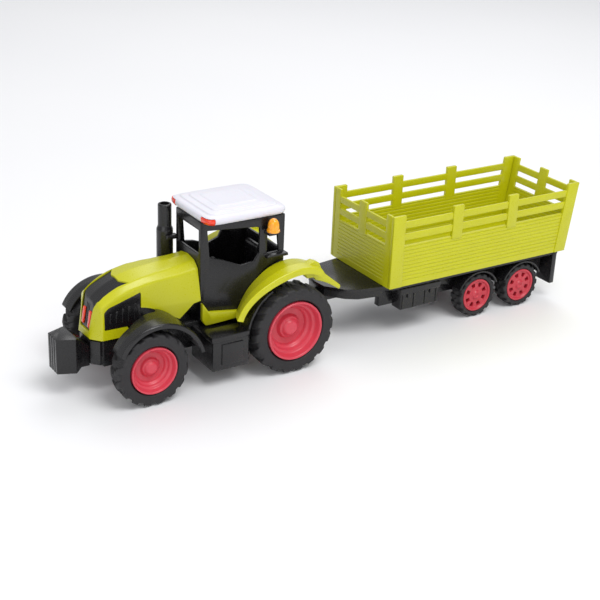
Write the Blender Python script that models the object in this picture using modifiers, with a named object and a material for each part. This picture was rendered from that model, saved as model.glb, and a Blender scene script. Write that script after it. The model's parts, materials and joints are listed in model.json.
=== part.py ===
"""A toy farm tractor with a hitched two-axle, stake-sided trailer.

Frame: metres, +Z up. The nose points to -Y, and +X is the driver's left-hand side.
The origin is on the ground, under the middle of the whole toy. Inside the functions,
places along Y are counted from the tractor's rear axle, which the "toy" empty carries.
"""
import math

import bmesh
import bpy
from mathutils import Matrix, Vector

MM = 0.001
GAP = 0.3 * MM                    # between pieces that touch

# Tractor wheels
REAR_TYRE_R = 31.0 * MM
REAR_TYRE_W = 20.0 * MM
REAR_RIM_R = 20.7 * MM
REAR_OUTER_X = 48.0 * MM          # the outer face of the rear wheels
REAR_LUGS = 18
FRONT_TYRE_R = 25.0 * MM
FRONT_TYRE_W = 15.0 * MM
FRONT_RIM_R = 15.95 * MM
FRONT_OUTER_X = 45.8 * MM
FRONT_LUGS = 16
WHEELBASE = 103.4 * MM
AXLE_R = 1.5 * MM
LUG_SHARE = 0.5                   # of a lug's pitch that is rubber
LUG_FLARE = 1.25                  # a lug's width at its root, in widths of its top
LUG_DEPTH = 1.4 * MM

# Tractor body
CHASSIS_HALF = 14.0 * MM
CHASSIS_REAR = 17.0 * MM
AXLE_COVER = 6.0 * MM             # chassis material above the rear and below the front axle
ENGINE_H = 19.0 * MM              # the engine block under the hood
NOSE_OVERHANG = 23.6 * MM
HOOD_NOSE_HALF = 15.8 * MM
BOW = 6.0 * MM                    # how far the nose runs out between its corners
BOW_HALF = 8.4 * MM
NOSE_SLIT = 6.6 * MM              # half the opening in the front of the nose
HOOD_WALL = 1.6 * MM
CAB_FRONT = -56.0 * MM
CAB_REAR = 2.0 * MM
CAB_FRONT_HALF = 17.0 * MM
CAB_SIDE_CLEARANCE = 2.0 * MM     # from the cab's side to the rear tyre
CAB_WALL = 2.0 * MM
CAB_HEIGHT = 69.7 * MM
CAB_CORNER = -18.0 * MM           # where the doors reach their full width
SILL_CLEARANCE = 20.3 * MM        # from the top of the rear tyre to the window sills
ROOF_HALF = 27.4 * MM
ROOF_THICK = 5.5 * MM
ROOF_CROWN = 2.2 * MM
FENDER_HALF = 46.0 * MM
PLASTIC = 2.0 * MM                # the usual wall of a moulding
STEP_HALF = 44.0 * MM
TUBE_R = 4.5 * MM                 # the axle tubes
WEIGHT_FRONT = 26.0 * MM          # from the nose to the front of the weight
WEIGHT_HALF = 11.2 * MM
LINK_HALF = 8.0 * MM              # the neck behind the weight

# Friction motor
GEAR_MODULE = 0.8 * MM
WHEEL_TEETH = 20
PINION_TEETH = 10
FLYWHEEL_R = 9.0 * MM
MOTOR_HALF = 11.4 * MM

# Hitch and trailer
HITCH_Y = 30.0 * MM               # behind the rear axle
HITCH_PIN_R = 2.0 * MM
HITCH_DROP = 3.0 * MM             # from the rear axle down to the tongue's top
TONGUE = 2.5 * MM                 # the tongue's thickness
EYE_R = 6.0 * MM
EYE_H = 4.0 * MM                  # the thickness of the drawbar at its eye
TRAILER_TYRE_R = 17.0 * MM
TRAILER_TYRE_W = 12.0 * MM
TRAILER_RIM_R = 12.6 * MM
TRAILER_OUTER_X = 33.6 * MM
TRAILER_LUGS = 16
TRAILER_LUG_DEPTH = 1.2 * MM
BOX_FRONT = 84.0 * MM
BOX_LENGTH = 166.0 * MM           # along the floor
BOX_HALF = 37.6 * MM
BOX_CLEARANCE = 6.2 * MM          # from the tyres to the floor
BOARD_H = 30.8 * MM
BOARD_THICK = 2.0 * MM
RAIL_H = 5.0 * MM
RAIL_GAP = 4.0 * MM
POST_W = 9.0 * MM
CORNER_POST_W = 10.5 * MM
POST_TOP = 5.0 * MM               # above the upper rail
RIB = 0.8 * MM                    # how far the posts stand out from the side boards
TAIL_RAKE = 7.0 * MM              # how far the tailgate leans back at its top
TRAILER_AXLE_BACK = 86.0 * MM     # from the headboard to the first trailer axle
TRAILER_AXLE_PITCH = 42.6 * MM


def lug_half_angle(lugs):
    return math.pi * LUG_SHARE * 0.7 / lugs


def axle_height(radius, lugs):
    """Height of an axle whose tyre stands on the flat top of one lug."""
    return radius * math.cos(lug_half_angle(lugs))


REAR_Z = axle_height(REAR_TYRE_R, REAR_LUGS)
FRONT_Z = axle_height(FRONT_TYRE_R, FRONT_LUGS)
TRAILER_Z = axle_height(TRAILER_TYRE_R, TRAILER_LUGS)
FRONT_Y = -WHEELBASE
CHASSIS_TOP = REAR_Z + AXLE_COVER
CHASSIS_BOTTOM = FRONT_Z - AXLE_COVER
BODY_Z = CHASSIS_TOP + GAP        # the underside of the hood and the cab
HOOD_FRONT = FRONT_Y - NOSE_OVERHANG
HOOD_REAR = CAB_FRONT - GAP
CAB_HALF = REAR_OUTER_X - REAR_TYRE_W - CAB_SIDE_CLEARANCE
CAB_TOP = BODY_Z + CAB_HEIGHT
ROOF_Z = CAB_TOP + GAP
HITCH_Z = REAR_Z - HITCH_DROP
WEIGHT_REAR = HOOD_FRONT - 4.0 * MM
BOX_Z = 2 * TRAILER_TYRE_R + BOX_CLEARANCE
BOX_REAR = BOX_FRONT + BOX_LENGTH
TRAILER_AXLES = (BOX_FRONT + TRAILER_AXLE_BACK, BOX_FRONT + TRAILER_AXLE_BACK + TRAILER_AXLE_PITCH)
FRONT_END = HOOD_FRONT - WEIGHT_FRONT
REAR_END = BOX_REAR + TAIL_RAKE
ORIGIN_Y = (FRONT_END + REAR_END) / 2


# ---------------------------------------------------------------- scene and materials

def clear_scene():
    for item in list(bpy.data.objects):
        bpy.data.objects.remove(item)


def plastic(name, colour, roughness=0.4, metallic=0.0):
    finish = bpy.data.materials.new(name)
    finish.use_nodes = True
    shader = finish.node_tree.nodes["Principled BSDF"]
    shader.inputs["Base Color"].default_value = (*colour, 1.0)
    shader.inputs["Roughness"].default_value = roughness
    shader.inputs["Metallic"].default_value = metallic
    return finish


def new_object(name, mesh):
    made = bpy.data.objects.new(name, mesh)
    bpy.context.scene.collection.objects.link(made)
    return made


def from_bmesh(name, shape):
    mesh = bpy.data.meshes.new(name)
    if shape.calc_volume(signed=True) < 0:
        bmesh.ops.reverse_faces(shape, faces=shape.faces)
    shape.to_mesh(mesh)
    shape.free()
    return new_object(name, mesh)


def evaluate(made):
    """Turn an object with modifiers, or a curve, into a plain mesh object in its place."""
    graph = bpy.context.evaluated_depsgraph_get()
    graph.update()
    mesh = bpy.data.meshes.new_from_object(made.evaluated_get(graph))
    name = made.name
    place = made.matrix_world.copy()
    bpy.data.objects.remove(made)
    shape = bmesh.new()
    shape.from_mesh(mesh)
    bmesh.ops.remove_doubles(shape, verts=shape.verts, dist=0.00001)
    shape.transform(place)
    shape.to_mesh(mesh)
    shape.free()
    return new_object(name, mesh)


# ---------------------------------------------------------------- basic shapes

def box(low, high, bevel=0.0, segments=2, name="box"):
    """A box between two corners, with its edges rounded by bevel."""
    shape = bmesh.new()
    bmesh.ops.create_cube(shape, size=1.0)
    size = [high[i] - low[i] for i in range(3)]
    middle = [(high[i] + low[i]) / 2 for i in range(3)]
    shape.transform(Matrix.Translation(middle) @ Matrix.Diagonal((*size, 1.0)))
    if bevel:
        bmesh.ops.bevel(
            shape, geom=shape.edges[:], offset=bevel, segments=segments, affect="EDGES", profile=0.5
        )
    return from_bmesh(name, shape)


AXES = {
    "X": Matrix(((0, 0, 1), (1, 0, 0), (0, 1, 0))).to_4x4(),
    "Y": Matrix(((1, 0, 0), (0, 0, -1), (0, 1, 0))).to_4x4(),
    "Z": Matrix.Identity(4),
}


def along(axis, low, high):
    """The move that puts a shape built about the local Z plane between low and high on an axis."""
    way = {"X": Vector((1, 0, 0)), "Y": Vector((0, 1, 0)), "Z": Vector((0, 0, 1))}[axis]
    return Matrix.Translation(way * (low + high) / 2) @ AXES[axis]


def plate(outline, axis, low, high, holes=(), name="plate"):
    """A flat outline extruded along an axis: (y, z) for X, (x, z) for Y and (x, y) for Z."""
    curve = bpy.data.curves.new(name, "CURVE")
    curve.dimensions = "2D"
    curve.fill_mode = "BOTH"
    curve.extrude = (high - low) / 2
    for ring in (outline, *holes):
        spline = curve.splines.new("POLY")
        spline.points.add(len(ring) - 1)
        for point, (across, up) in zip(spline.points, ring):
            point.co = (across, up, 0.0, 1.0)
        spline.use_cyclic_u = True
    made = evaluate(new_object(name, curve))
    made.data.transform(along(axis, low, high))
    return made


def rod(radius, axis, low, high, centre=(0.0, 0.0), sides=24, top=None, name="rod"):
    """A round bar along an axis, about a centre given as plate() gives its outline."""
    shape = bmesh.new()
    bmesh.ops.create_cone(
        shape, cap_ends=True, segments=sides, radius1=radius,
        radius2=radius if top is None else top, depth=high - low,
    )
    shape.transform(Matrix.Translation((*centre, 0.0)))
    shape.transform(along(axis, low, high))
    return from_bmesh(name, shape)


def turned(profile, axis="X", steps=22, name="turned"):
    """A ring turned about an axis from a closed profile of (radius, place along the axis)."""
    area = sum(
        r0 * z1 - r1 * z0 for (r0, z0), (r1, z1) in zip(profile, profile[1:] + profile[:1])
    )
    ring = profile if area < 0 else profile[::-1]
    count = len(ring)
    mesh = bpy.data.meshes.new(name)
    edges = [(i, (i + 1) % count) for i in range(count)]
    mesh.from_pydata([(r, 0.0, z) for r, z in ring], edges, [])
    made = new_object(name, mesh)
    screw = made.modifiers.new("turn", "SCREW")
    screw.steps = steps
    screw.render_steps = steps
    screw.use_merge_vertices = True
    screw.merge_threshold = 0.00001
    made = evaluate(made)
    made.data.transform(AXES[axis])
    return made


def loft(rings, name="loft"):
    """A closed body through rings with the same number of points."""
    shape = bmesh.new()
    rows = [[shape.verts.new(point) for point in ring] for ring in rings]
    for first, second in zip(rows, rows[1:]):
        for i, corner in enumerate(first):
            j = (i + 1) % len(first)
            shape.faces.new((corner, first[j], second[j], second[i]))
    shape.faces.new(rows[0][::-1])
    shape.faces.new(rows[-1])
    return from_bmesh(name, shape)


def combine(target, tools, operation):
    """Join tools to a body, or cut them from it, and return the new body."""
    for tool in tools:
        modifier = target.modifiers.new(operation.lower(), "BOOLEAN")
        modifier.operation = operation
        modifier.object = tool
    made = evaluate(target)
    for tool in tools:
        bpy.data.objects.remove(tool)
    return made


def join(target, *tools):
    return combine(target, tools, "UNION")


def cut(target, *tools):
    return combine(target, tools, "DIFFERENCE")


def mirrored(made, name):
    """A copy on the other side of the toy's middle plane."""
    mesh = made.data.copy()
    mesh.transform(Matrix.Diagonal((-1.0, 1.0, 1.0, 1.0)))
    mesh.flip_normals()
    return new_object(name, mesh)


def arc(centre, radius, start, stop, count, end_radius=None):
    """Points on an arc, in degrees from the first axis; the radius may grow to end_radius."""
    last = radius if end_radius is None else end_radius
    points = []
    for i in range(count + 1):
        share = i / count
        angle = math.radians(start + (stop - start) * share)
        reach = radius + (last - radius) * share
        points.append((centre[0] + reach * math.cos(angle), centre[1] + reach * math.sin(angle)))
    return points


def band(centre, radius, start, stop, count, thick, end_radius=None):
    """The outline of a curved strip of even thickness, on the inside of an arc."""
    last = radius if end_radius is None else end_radius
    outer = arc(centre, radius, start, stop, count, last)
    inner = arc(centre, radius - thick, start, stop, count, last - thick)
    return outer + inner[::-1]


# ---------------------------------------------------------------- assembly

class Assembly:
    """Puts finished pieces in the toy's collection, under the empty that carries them."""

    def __init__(self, name):
        self.collection = bpy.data.collections.new(name)
        bpy.context.scene.collection.children.link(self.collection)
        self.root = self.carrier("toy", (0.0, -ORIGIN_Y, 0.0))

    def carrier(self, name, place, parent=None):
        empty = bpy.data.objects.new(name, None)
        empty.empty_display_size = 0.01
        empty.location = place
        empty.parent = parent
        self.collection.objects.link(empty)
        return empty

    def add(self, made, name, finish, carrier=None):
        made.name = name
        made.data.name = name
        made.data.materials.clear()
        made.data.materials.append(finish)
        made.data.shade_smooth()
        made.data.set_sharp_from_angle(angle=math.radians(32))
        made.parent = carrier or self.root
        bpy.context.scene.collection.objects.unlink(made)
        self.collection.objects.link(made)
        return made

    def add_pair(self, made, name, finish, carrier=None):
        """The piece as its left one, and its mirror image as its right one."""
        other = mirrored(made, name)
        self.add(made, name + "_left", finish, carrier)
        self.add(other, name + "_right", finish, carrier)


# ---------------------------------------------------------------- wheels

def tyre(radius, width, bore, lugs, depth, outer_x):
    """A ring with straight lugs across its tread; a lug's flat top is at the bottom."""
    half = lug_half_angle(lugs)
    pitch = 2 * math.pi / lugs
    outline = []
    for i in range(lugs):
        middle = -math.pi / 2 + i * pitch
        root = half * LUG_FLARE
        corners = ((-root, radius - depth), (-half, radius), (half, radius), (root, radius - depth))
        for turn, reach in corners:
            outline.append((reach * math.cos(middle + turn), reach * math.sin(middle + turn)))
    hole = arc((0.0, 0.0), bore, 0, 345, 23)
    return plate(outline, "X", outer_x - width, outer_x, holes=(hole,))


def dished_rim(radius, width, face, dish):
    """A deep-dished wheel centre with a raised round hub, turned about its axle."""
    bore = AXLE_R + GAP
    back = face - width
    floor = face - dish
    profile = [
        (bore, floor + 0.45 * dish), (0.26 * radius, floor + 0.45 * dish), (0.38 * radius, floor),
        (0.62 * radius, floor), (0.70 * radius, floor + 0.30 * dish),
        (0.88 * radius, floor + 0.36 * dish), (0.93 * radius, face), (radius, face),
        (radius, back), (0.88 * radius, back),
        (0.80 * radius, floor - PLASTIC), (0.30 * radius, floor - PLASTIC), (0.30 * radius, back),
        (bore, back),
    ]
    return turned(profile)


def flat_rim(radius, width, face):
    """A nearly flat trailer wheel centre with a small hub boss."""
    bore = AXLE_R + GAP
    back = face - width
    profile = [
        (bore, face), (0.24 * radius, face), (0.30 * radius, face - 1.2 * MM),
        (0.84 * radius, face - 1.2 * MM), (0.90 * radius, face), (radius, face), (radius, back),
        (0.86 * radius, back), (0.80 * radius, face - 3.4 * MM), (0.30 * radius, face - 3.4 * MM),
        (0.30 * radius, back), (bore, back),
    ]
    return turned(profile, steps=18)


def wheel_set(toy, name, carrier, tyre_shape, rim_shape, axle_half, finishes):
    """Both tyres and rims of an axle, and the axle, all about the carrier's origin."""
    toy.add_pair(tyre_shape, name + "_tyre", finishes["tyre"], carrier)
    toy.add_pair(rim_shape, name + "_rim", finishes["rim"], carrier)
    axle = rod(AXLE_R, "X", -axle_half, axle_half, sides=16)
    toy.add(axle, name + "_axle", finishes["steel"], carrier)


def tractor_wheels(toy, finishes):
    rear = toy.carrier("rear_wheel_axis", (0.0, 0.0, REAR_Z), toy.root)
    front = toy.carrier("front_wheel_axis", (0.0, FRONT_Y, FRONT_Z), toy.root)
    rim_gap = GAP + 0.7 * MM
    wheel_set(
        toy, "rear", rear,
        tyre(REAR_TYRE_R, REAR_TYRE_W, REAR_RIM_R + GAP, REAR_LUGS, LUG_DEPTH, REAR_OUTER_X),
        dished_rim(REAR_RIM_R, REAR_TYRE_W - rim_gap, REAR_OUTER_X, 0.55 * REAR_TYRE_W),
        REAR_OUTER_X - 0.35 * REAR_TYRE_W, finishes,
    )
    wheel_set(
        toy, "front", front,
        tyre(FRONT_TYRE_R, FRONT_TYRE_W, FRONT_RIM_R + GAP, FRONT_LUGS, LUG_DEPTH, FRONT_OUTER_X),
        dished_rim(FRONT_RIM_R, FRONT_TYRE_W - rim_gap, FRONT_OUTER_X, 0.5 * FRONT_TYRE_W),
        FRONT_OUTER_X - 0.35 * FRONT_TYRE_W, finishes,
    )
    return rear


# ---------------------------------------------------------------- friction motor

def gear_outline(teeth, phase):
    """Straight-flanked teeth; phase 0 puts a tooth at -Y, and 0.5 puts a gap there."""
    pitch_radius = GEAR_MODULE * teeth / 2
    outline = []
    steps = ((-0.72, -1.05), (-0.24, 0.85), (0.24, 0.85), (0.72, -1.05))
    for i in range(teeth):
        middle = math.pi + 2 * math.pi * (i + phase) / teeth
        for across, up in steps:
            reach = pitch_radius + up * GEAR_MODULE
            angle = middle + across * GEAR_MODULE / pitch_radius
            outline.append((reach * math.cos(angle), reach * math.sin(angle)))
    return outline


def friction_motor(toy, rear, finishes):
    """A flywheel geared up from the rear axle in two steps, in a case open at its top."""
    centres = GEAR_MODULE * (WHEEL_TEETH + PINION_TEETH) / 2
    idler = toy.carrier("idler_axis", (0.0, -centres, REAR_Z), toy.root)
    flywheel = toy.carrier("flywheel_axis", (0.0, -2 * centres, REAR_Z), toy.root)
    wall = 1.4 * MM
    shaft = 1.0 * MM
    first = (6.0 * MM, 8.6 * MM)      # the plane of the axle's gear and the idler's pinion
    second = (2.0 * MM, 4.6 * MM)     # the plane of the idler's gear and the flywheel's pinion
    disc = (-8.6 * MM, 0.6 * MM)

    bore = arc((0.0, 0.0), AXLE_R + GAP, 0, 345, 23)
    gear = plate(gear_outline(WHEEL_TEETH, 0.0), "X", *first, holes=(bore,))
    toy.add(gear, "drive_gear", finishes["nylon"], rear)

    # The pinion's gap faces the axle's tooth at +Y: with an even count that is also a gap at -Y.
    compound = join(
        rod(shaft, "X", -MOTOR_HALF, MOTOR_HALF, sides=16),
        plate(gear_outline(PINION_TEETH, 0.5), "X", second[1] - 0.2 * MM, first[1] + 0.2 * MM),
        plate(gear_outline(WHEEL_TEETH, 0.0), "X", *second),
    )
    toy.add(compound, "idler_gear", finishes["nylon"], idler)

    spinner = join(
        rod(shaft, "X", -MOTOR_HALF, MOTOR_HALF, sides=16),
        plate(gear_outline(PINION_TEETH, 0.5), "X", disc[1] - 0.2 * MM, second[1] + 0.2 * MM),
        rod(FLYWHEEL_R, "X", *disc, sides=32),
    )
    toy.add(spinner, "flywheel", finishes["steel"], flywheel)

    front = -2 * centres - FLYWHEEL_R - 1.0 * MM - wall
    rear_y = GEAR_MODULE * (WHEEL_TEETH / 2 + 1) + 0.8 * MM + wall
    floor = CHASSIS_BOTTOM + PLASTIC
    top = REAR_Z + FLYWHEEL_R + 2.0 * MM
    case = box((-MOTOR_HALF, front, floor + GAP), (MOTOR_HALF, rear_y, top))
    room = box(
        (wall - MOTOR_HALF, front + wall, floor + GAP + 0.5 * MM),
        (MOTOR_HALF - wall, rear_y - wall, top + wall),
    )
    reach = 2 * MOTOR_HALF
    bores = [
        rod(radius + GAP, "X", -reach, reach, (-place, REAR_Z), sides=16)
        for radius, place in ((AXLE_R, 0.0), (shaft, centres), (shaft, 2 * centres))
    ]
    toy.add(cut(case, room, *bores), "motor_case", finishes["nylon"])
    return front, rear_y, floor, top


# ---------------------------------------------------------------- tractor lower body

def tractor_chassis(toy, motor, finishes):
    """The black lower moulding, with axle tubes, the motor's well and the hitch tongue."""
    motor_front, motor_rear, floor, motor_top = motor
    front_tube = FRONT_OUTER_X - FRONT_TYRE_W - GAP
    rear_tube = REAR_OUTER_X - REAR_TYRE_W - GAP
    reach = REAR_OUTER_X
    neck = [
        (CHASSIS_HALF - MM, HOOD_FRONT + 6 * MM), (CHASSIS_HALF - MM, HOOD_FRONT + MM),
        (LINK_HALF, WEIGHT_REAR + GAP),
    ]
    body = join(
        box(
            (-CHASSIS_HALF, HOOD_FRONT + 3 * MM, CHASSIS_BOTTOM),
            (CHASSIS_HALF, CHASSIS_REAR, CHASSIS_TOP),
        ),
        plate(
            neck + [(-x, y) for x, y in neck[::-1]], "Z", CHASSIS_BOTTOM + MM, CHASSIS_TOP - 0.5 * MM
        ),
        box(
            (-CHASSIS_HALF + 3 * MM, FRONT_Y - 6 * MM, CHASSIS_TOP - MM),
            (CHASSIS_HALF - 3 * MM, FRONT_Y + 34 * MM, CHASSIS_TOP + ENGINE_H), bevel=1.5 * MM,
        ),
        rod(TUBE_R, "X", -front_tube, front_tube, (FRONT_Y, FRONT_Z)),
        rod(TUBE_R, "X", -rear_tube, rear_tube, (0.0, REAR_Z)),
        box((-EYE_R, CHASSIS_REAR - 3 * MM, HITCH_Z - TONGUE), (EYE_R, HITCH_Y, HITCH_Z)),
        rod(EYE_R, "Z", HITCH_Z - TONGUE, HITCH_Z, (0.0, HITCH_Y)),
        box(
            (-CHASSIS_HALF, CAB_REAR + GAP, CHASSIS_TOP - MM),
            (CHASSIS_HALF, CHASSIS_REAR, motor_top + PLASTIC),
        ),
    )
    body = cut(
        body,
        rod(AXLE_R + GAP, "X", -reach, reach, (FRONT_Y, FRONT_Z), sides=16),
        rod(AXLE_R + GAP, "X", -reach, reach, (0.0, REAR_Z), sides=16),
        box(
            (-MOTOR_HALF - GAP, motor_front - GAP, floor),
            (MOTOR_HALF + GAP, motor_rear + GAP, motor_top + GAP),
        ),
        rod(HITCH_PIN_R + GAP, "Z", HITCH_Z - 5 * MM, HITCH_Z + 2 * MM, (0.0, HITCH_Y)),
    )
    toy.add(body, "chassis", finishes["black"])

    # The peg stands in the tongue, and its head and foot are wider than the eye.
    place = (0.0, HITCH_Y)
    collar = HITCH_PIN_R + 1.4 * MM
    foot = HITCH_Z - TONGUE - GAP
    head = HITCH_Z + EYE_H + 2 * GAP
    peg = join(
        rod(HITCH_PIN_R, "Z", foot - MM, head + MM, place),
        rod(collar, "Z", foot - 1.7 * MM, foot, place),
        rod(collar, "Z", head, head + 1.6 * MM, place, top=collar - MM),
    )
    toy.add(peg, "hitch_pin", finishes["black"])


def front_weight(toy, finishes):
    """The ballast block: it widens backwards, then narrows to the neck that carries it."""
    bottom = CHASSIS_BOTTOM - 2.0 * MM
    top = CHASSIS_TOP + 4.0 * MM
    side = [
        (FRONT_END, bottom), (FRONT_END + 12 * MM, bottom), (FRONT_END + 16 * MM, bottom + 2 * MM),
        (WEIGHT_REAR, bottom + 2 * MM), (WEIGHT_REAR, top - 8 * MM), (FRONT_END + 13 * MM, top),
        (FRONT_END, top),
    ]
    right = [
        (WEIGHT_HALF - 4.6 * MM, FRONT_END), (WEIGHT_HALF, FRONT_END + 11.5 * MM),
        (LINK_HALF, FRONT_END + 16.5 * MM), (LINK_HALF, WEIGHT_REAR),
    ]
    plan = right + [(-x, y) for x, y in right[::-1]]
    block = combine(
        plate(side, "X", -WEIGHT_HALF, WEIGHT_HALF), [plate(plan, "Z", bottom - MM, top + MM)], "INTERSECT"
    )
    grooves = [
        box((x - 0.4 * MM, FRONT_END - MM, bottom - MM), (x + 0.4 * MM, FRONT_END + 0.8 * MM, top + MM))
        for x in (-3.5 * MM, 0.0, 3.5 * MM)
    ]
    toy.add(cut(block, *grooves), "front_weight", finishes["black"])


def front_mudguards(toy, finishes):
    """Arched plates over the front wheels, nearer to the tyre and narrower at the front."""
    inner = hood_half(1.0) + GAP
    outer = FRONT_OUTER_X + 0.7 * MM
    shield = band(
        (FRONT_Y, FRONT_Z), FRONT_TYRE_R + 12.0 * MM, 10, 148, 14, PLASTIC, FRONT_TYRE_R + 3.0 * MM
    )
    notch = [
        (inner - MM, FRONT_Y + 14 * MM), (inner + 5 * MM, FRONT_Y + 11 * MM), (inner + 8 * MM, FRONT_Y),
        (inner + 13 * MM, FRONT_Y - 12 * MM), (inner + 13 * MM, FRONT_Y - 40 * MM),
        (inner - MM, FRONT_Y - 40 * MM),
    ]
    guard = cut(plate(shield, "X", inner, outer), plate(notch, "Z", 0.0, CAB_TOP))
    toy.add_pair(guard, "front_mudguard", finishes["black"])


def side_steps(toy, finishes):
    """The step box under each door, with the liner that rises from it round the rear tyre."""
    top = CHASSIS_TOP + 1.0 * MM
    low = CHASSIS_BOTTOM - 6.0 * MM
    front = CAB_FRONT - 5.0 * MM
    rear = -REAR_TYRE_R - 2.5 * MM
    inner = CHASSIS_HALF + GAP
    body = box((inner, front, low), (STEP_HALF, rear, top - 3 * MM), bevel=1.2 * MM)
    tread = box(
        (CAB_HALF + 4 * MM, front - MM, top - 4 * MM), (STEP_HALF + 0.5 * MM, rear, top), bevel=0.8 * MM
    )
    panel = box(
        (STEP_HALF - 2 * MM, front + 6.5 * MM, low + 4 * MM),
        (STEP_HALF + 1.0 * MM, rear - 5 * MM, top - 6 * MM), bevel=0.6 * MM,
    )
    liner = plate(
        band((0.0, REAR_Z), REAR_TYRE_R + 3.8 * MM, 118, 182, 8, 1.6 * MM),
        "X", CAB_HALF + 5.5 * MM, FENDER_HALF - 3 * MM,
    )
    toy.add_pair(join(body, tread, panel, liner), "side_step", finishes["black"])


# ---------------------------------------------------------------- hood

# share of the length, half-width and height of the top edge, half-width and height of the
# shoulder, and half-width at the waist; heights are from the hood's underside
HOOD_SECTIONS = (
    (0.02, 10.5, 26.8, 15.2, 23.0, 15.8),
    (0.28, 13.0, 35.6, 16.2, 31.6, 16.6),
    (0.64, 11.4, 39.4, 15.8, 35.4, 17.6),
    (1.00, 9.0, 41.6, 14.0, 37.2, 18.4),
)
HOOD_WAIST = 17.0 * MM


def hood_half(share):
    """The hood's half-width at its waist, at a share of its length."""
    for first, second in zip(HOOD_SECTIONS, HOOD_SECTIONS[1:]):
        if share <= second[0]:
            part = (share - first[0]) / (second[0] - first[0])
            width = first[5] + (second[5] - first[5]) * part
            return width * MM + HOOD_NOSE_HALF - HOOD_SECTIONS[0][5] * MM
    return CAB_FRONT_HALF


def hood_solid(inset, drop, extend):
    """The hood's outer form, drawn in by inset, and carried down and back past its edges."""
    wider = HOOD_NOSE_HALF - HOOD_SECTIONS[0][5] * MM
    narrow = BOW_HALF - inset
    bow = [
        (0.7 * narrow, 25.0 * MM - inset), (0.96 * narrow, 21.5 * MM - 0.7 * inset),
        (narrow, HOOD_WAIST), (narrow, -drop),
    ]
    right = [(x, bow_face(z) + inset, BODY_Z + z) for x, z in bow]
    rings = [[(-x, y, z) for x, y, z in right[::-1]] + right]
    for share, top_half, top, shoulder_half, shoulder, waist_half in HOOD_SECTIONS:
        y = HOOD_FRONT + (HOOD_REAR - HOOD_FRONT) * share
        if share == 1.0:
            y += extend
        half = [
            (top_half * MM, top * MM - inset), (shoulder_half * MM, shoulder * MM - inset * 0.7),
            (waist_half * MM, HOOD_WAIST), (waist_half * MM, -drop),
        ]
        right = [(x + wider - inset, y, BODY_Z + z) for x, z in half]
        left = [(-x, y, z) for x, y, z in right[::-1]]
        rings.append(left + right)
    return loft(rings)


def bow_face(height):
    """Where the front of the nose stands at a height over the hood's underside: it leans back."""
    return HOOD_FRONT + 1.5 * MM - BOW + 0.16 * height


def nose_outline(inset):
    """The plan of the opening that the grille fills, ending in a point at each ridge."""
    rear = HOOD_FRONT + 18.0 * MM
    side = HOOD_NOSE_HALF - 4.6 * MM - inset
    tip = HOOD_NOSE_HALF - 3.2 * MM - inset
    slit = NOSE_SLIT - inset
    right = [
        (slit, HOOD_FRONT - 2 * BOW), (slit, HOOD_FRONT - 3 * MM), (side, HOOD_FRONT + 2 * MM),
        (side, rear - 3 * MM), (tip, rear + 4 * MM - inset), (0.5 * side, rear - inset),
    ]
    return right + [(-x, y) for x, y in right[::-1]]


def vent_outline(inset):
    """The side panel's outline, along the sloping top of the hood's side."""
    front = HOOD_FRONT + 3.2 * MM + inset
    rear = HOOD_FRONT + 28.5 * MM - inset
    low = BODY_Z + 7.5 * MM + inset
    return [
        (front, low), (front, BODY_Z + 20.5 * MM - inset), (front + 2.5 * MM, BODY_Z + 22.5 * MM - inset),
        (rear, BODY_Z + 30.0 * MM - inset), (rear, low + 4 * MM), (rear - 5 * MM, low),
    ]


def arch_outline():
    """What the hood's lower edge leaves free: the wheel arch, and the notch behind its tab."""
    arch = arc((FRONT_Y, FRONT_Z), FRONT_TYRE_R + 7.0 * MM, 50, 98, 6)
    tab = (FRONT_Y + 32 * MM, BODY_Z + 6 * MM)
    low = BODY_Z - 10 * MM
    return [
        (HOOD_REAR + 5 * MM, low), (HOOD_REAR + 5 * MM, BODY_Z + HOOD_WAIST),
        (HOOD_REAR - 5 * MM, BODY_Z + HOOD_WAIST - 2 * MM), tab, *arch,
        (FRONT_Y - 4.5 * MM, BODY_Z + 7 * MM), (FRONT_Y - 2 * MM, BODY_Z + 4.5 * MM),
        (FRONT_Y - 12 * MM, BODY_Z), (FRONT_Y - 12 * MM, low),
    ]


def bow_band(low, high, front, rear):
    """A side outline between two heights, its front and rear along the lean of the nose."""
    return [
        (bow_face(low) + front, BODY_Z + low), (bow_face(low) + rear, BODY_Z + low),
        (bow_face(high) + rear, BODY_Z + high), (bow_face(high) + front, BODY_Z + high),
    ]


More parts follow.
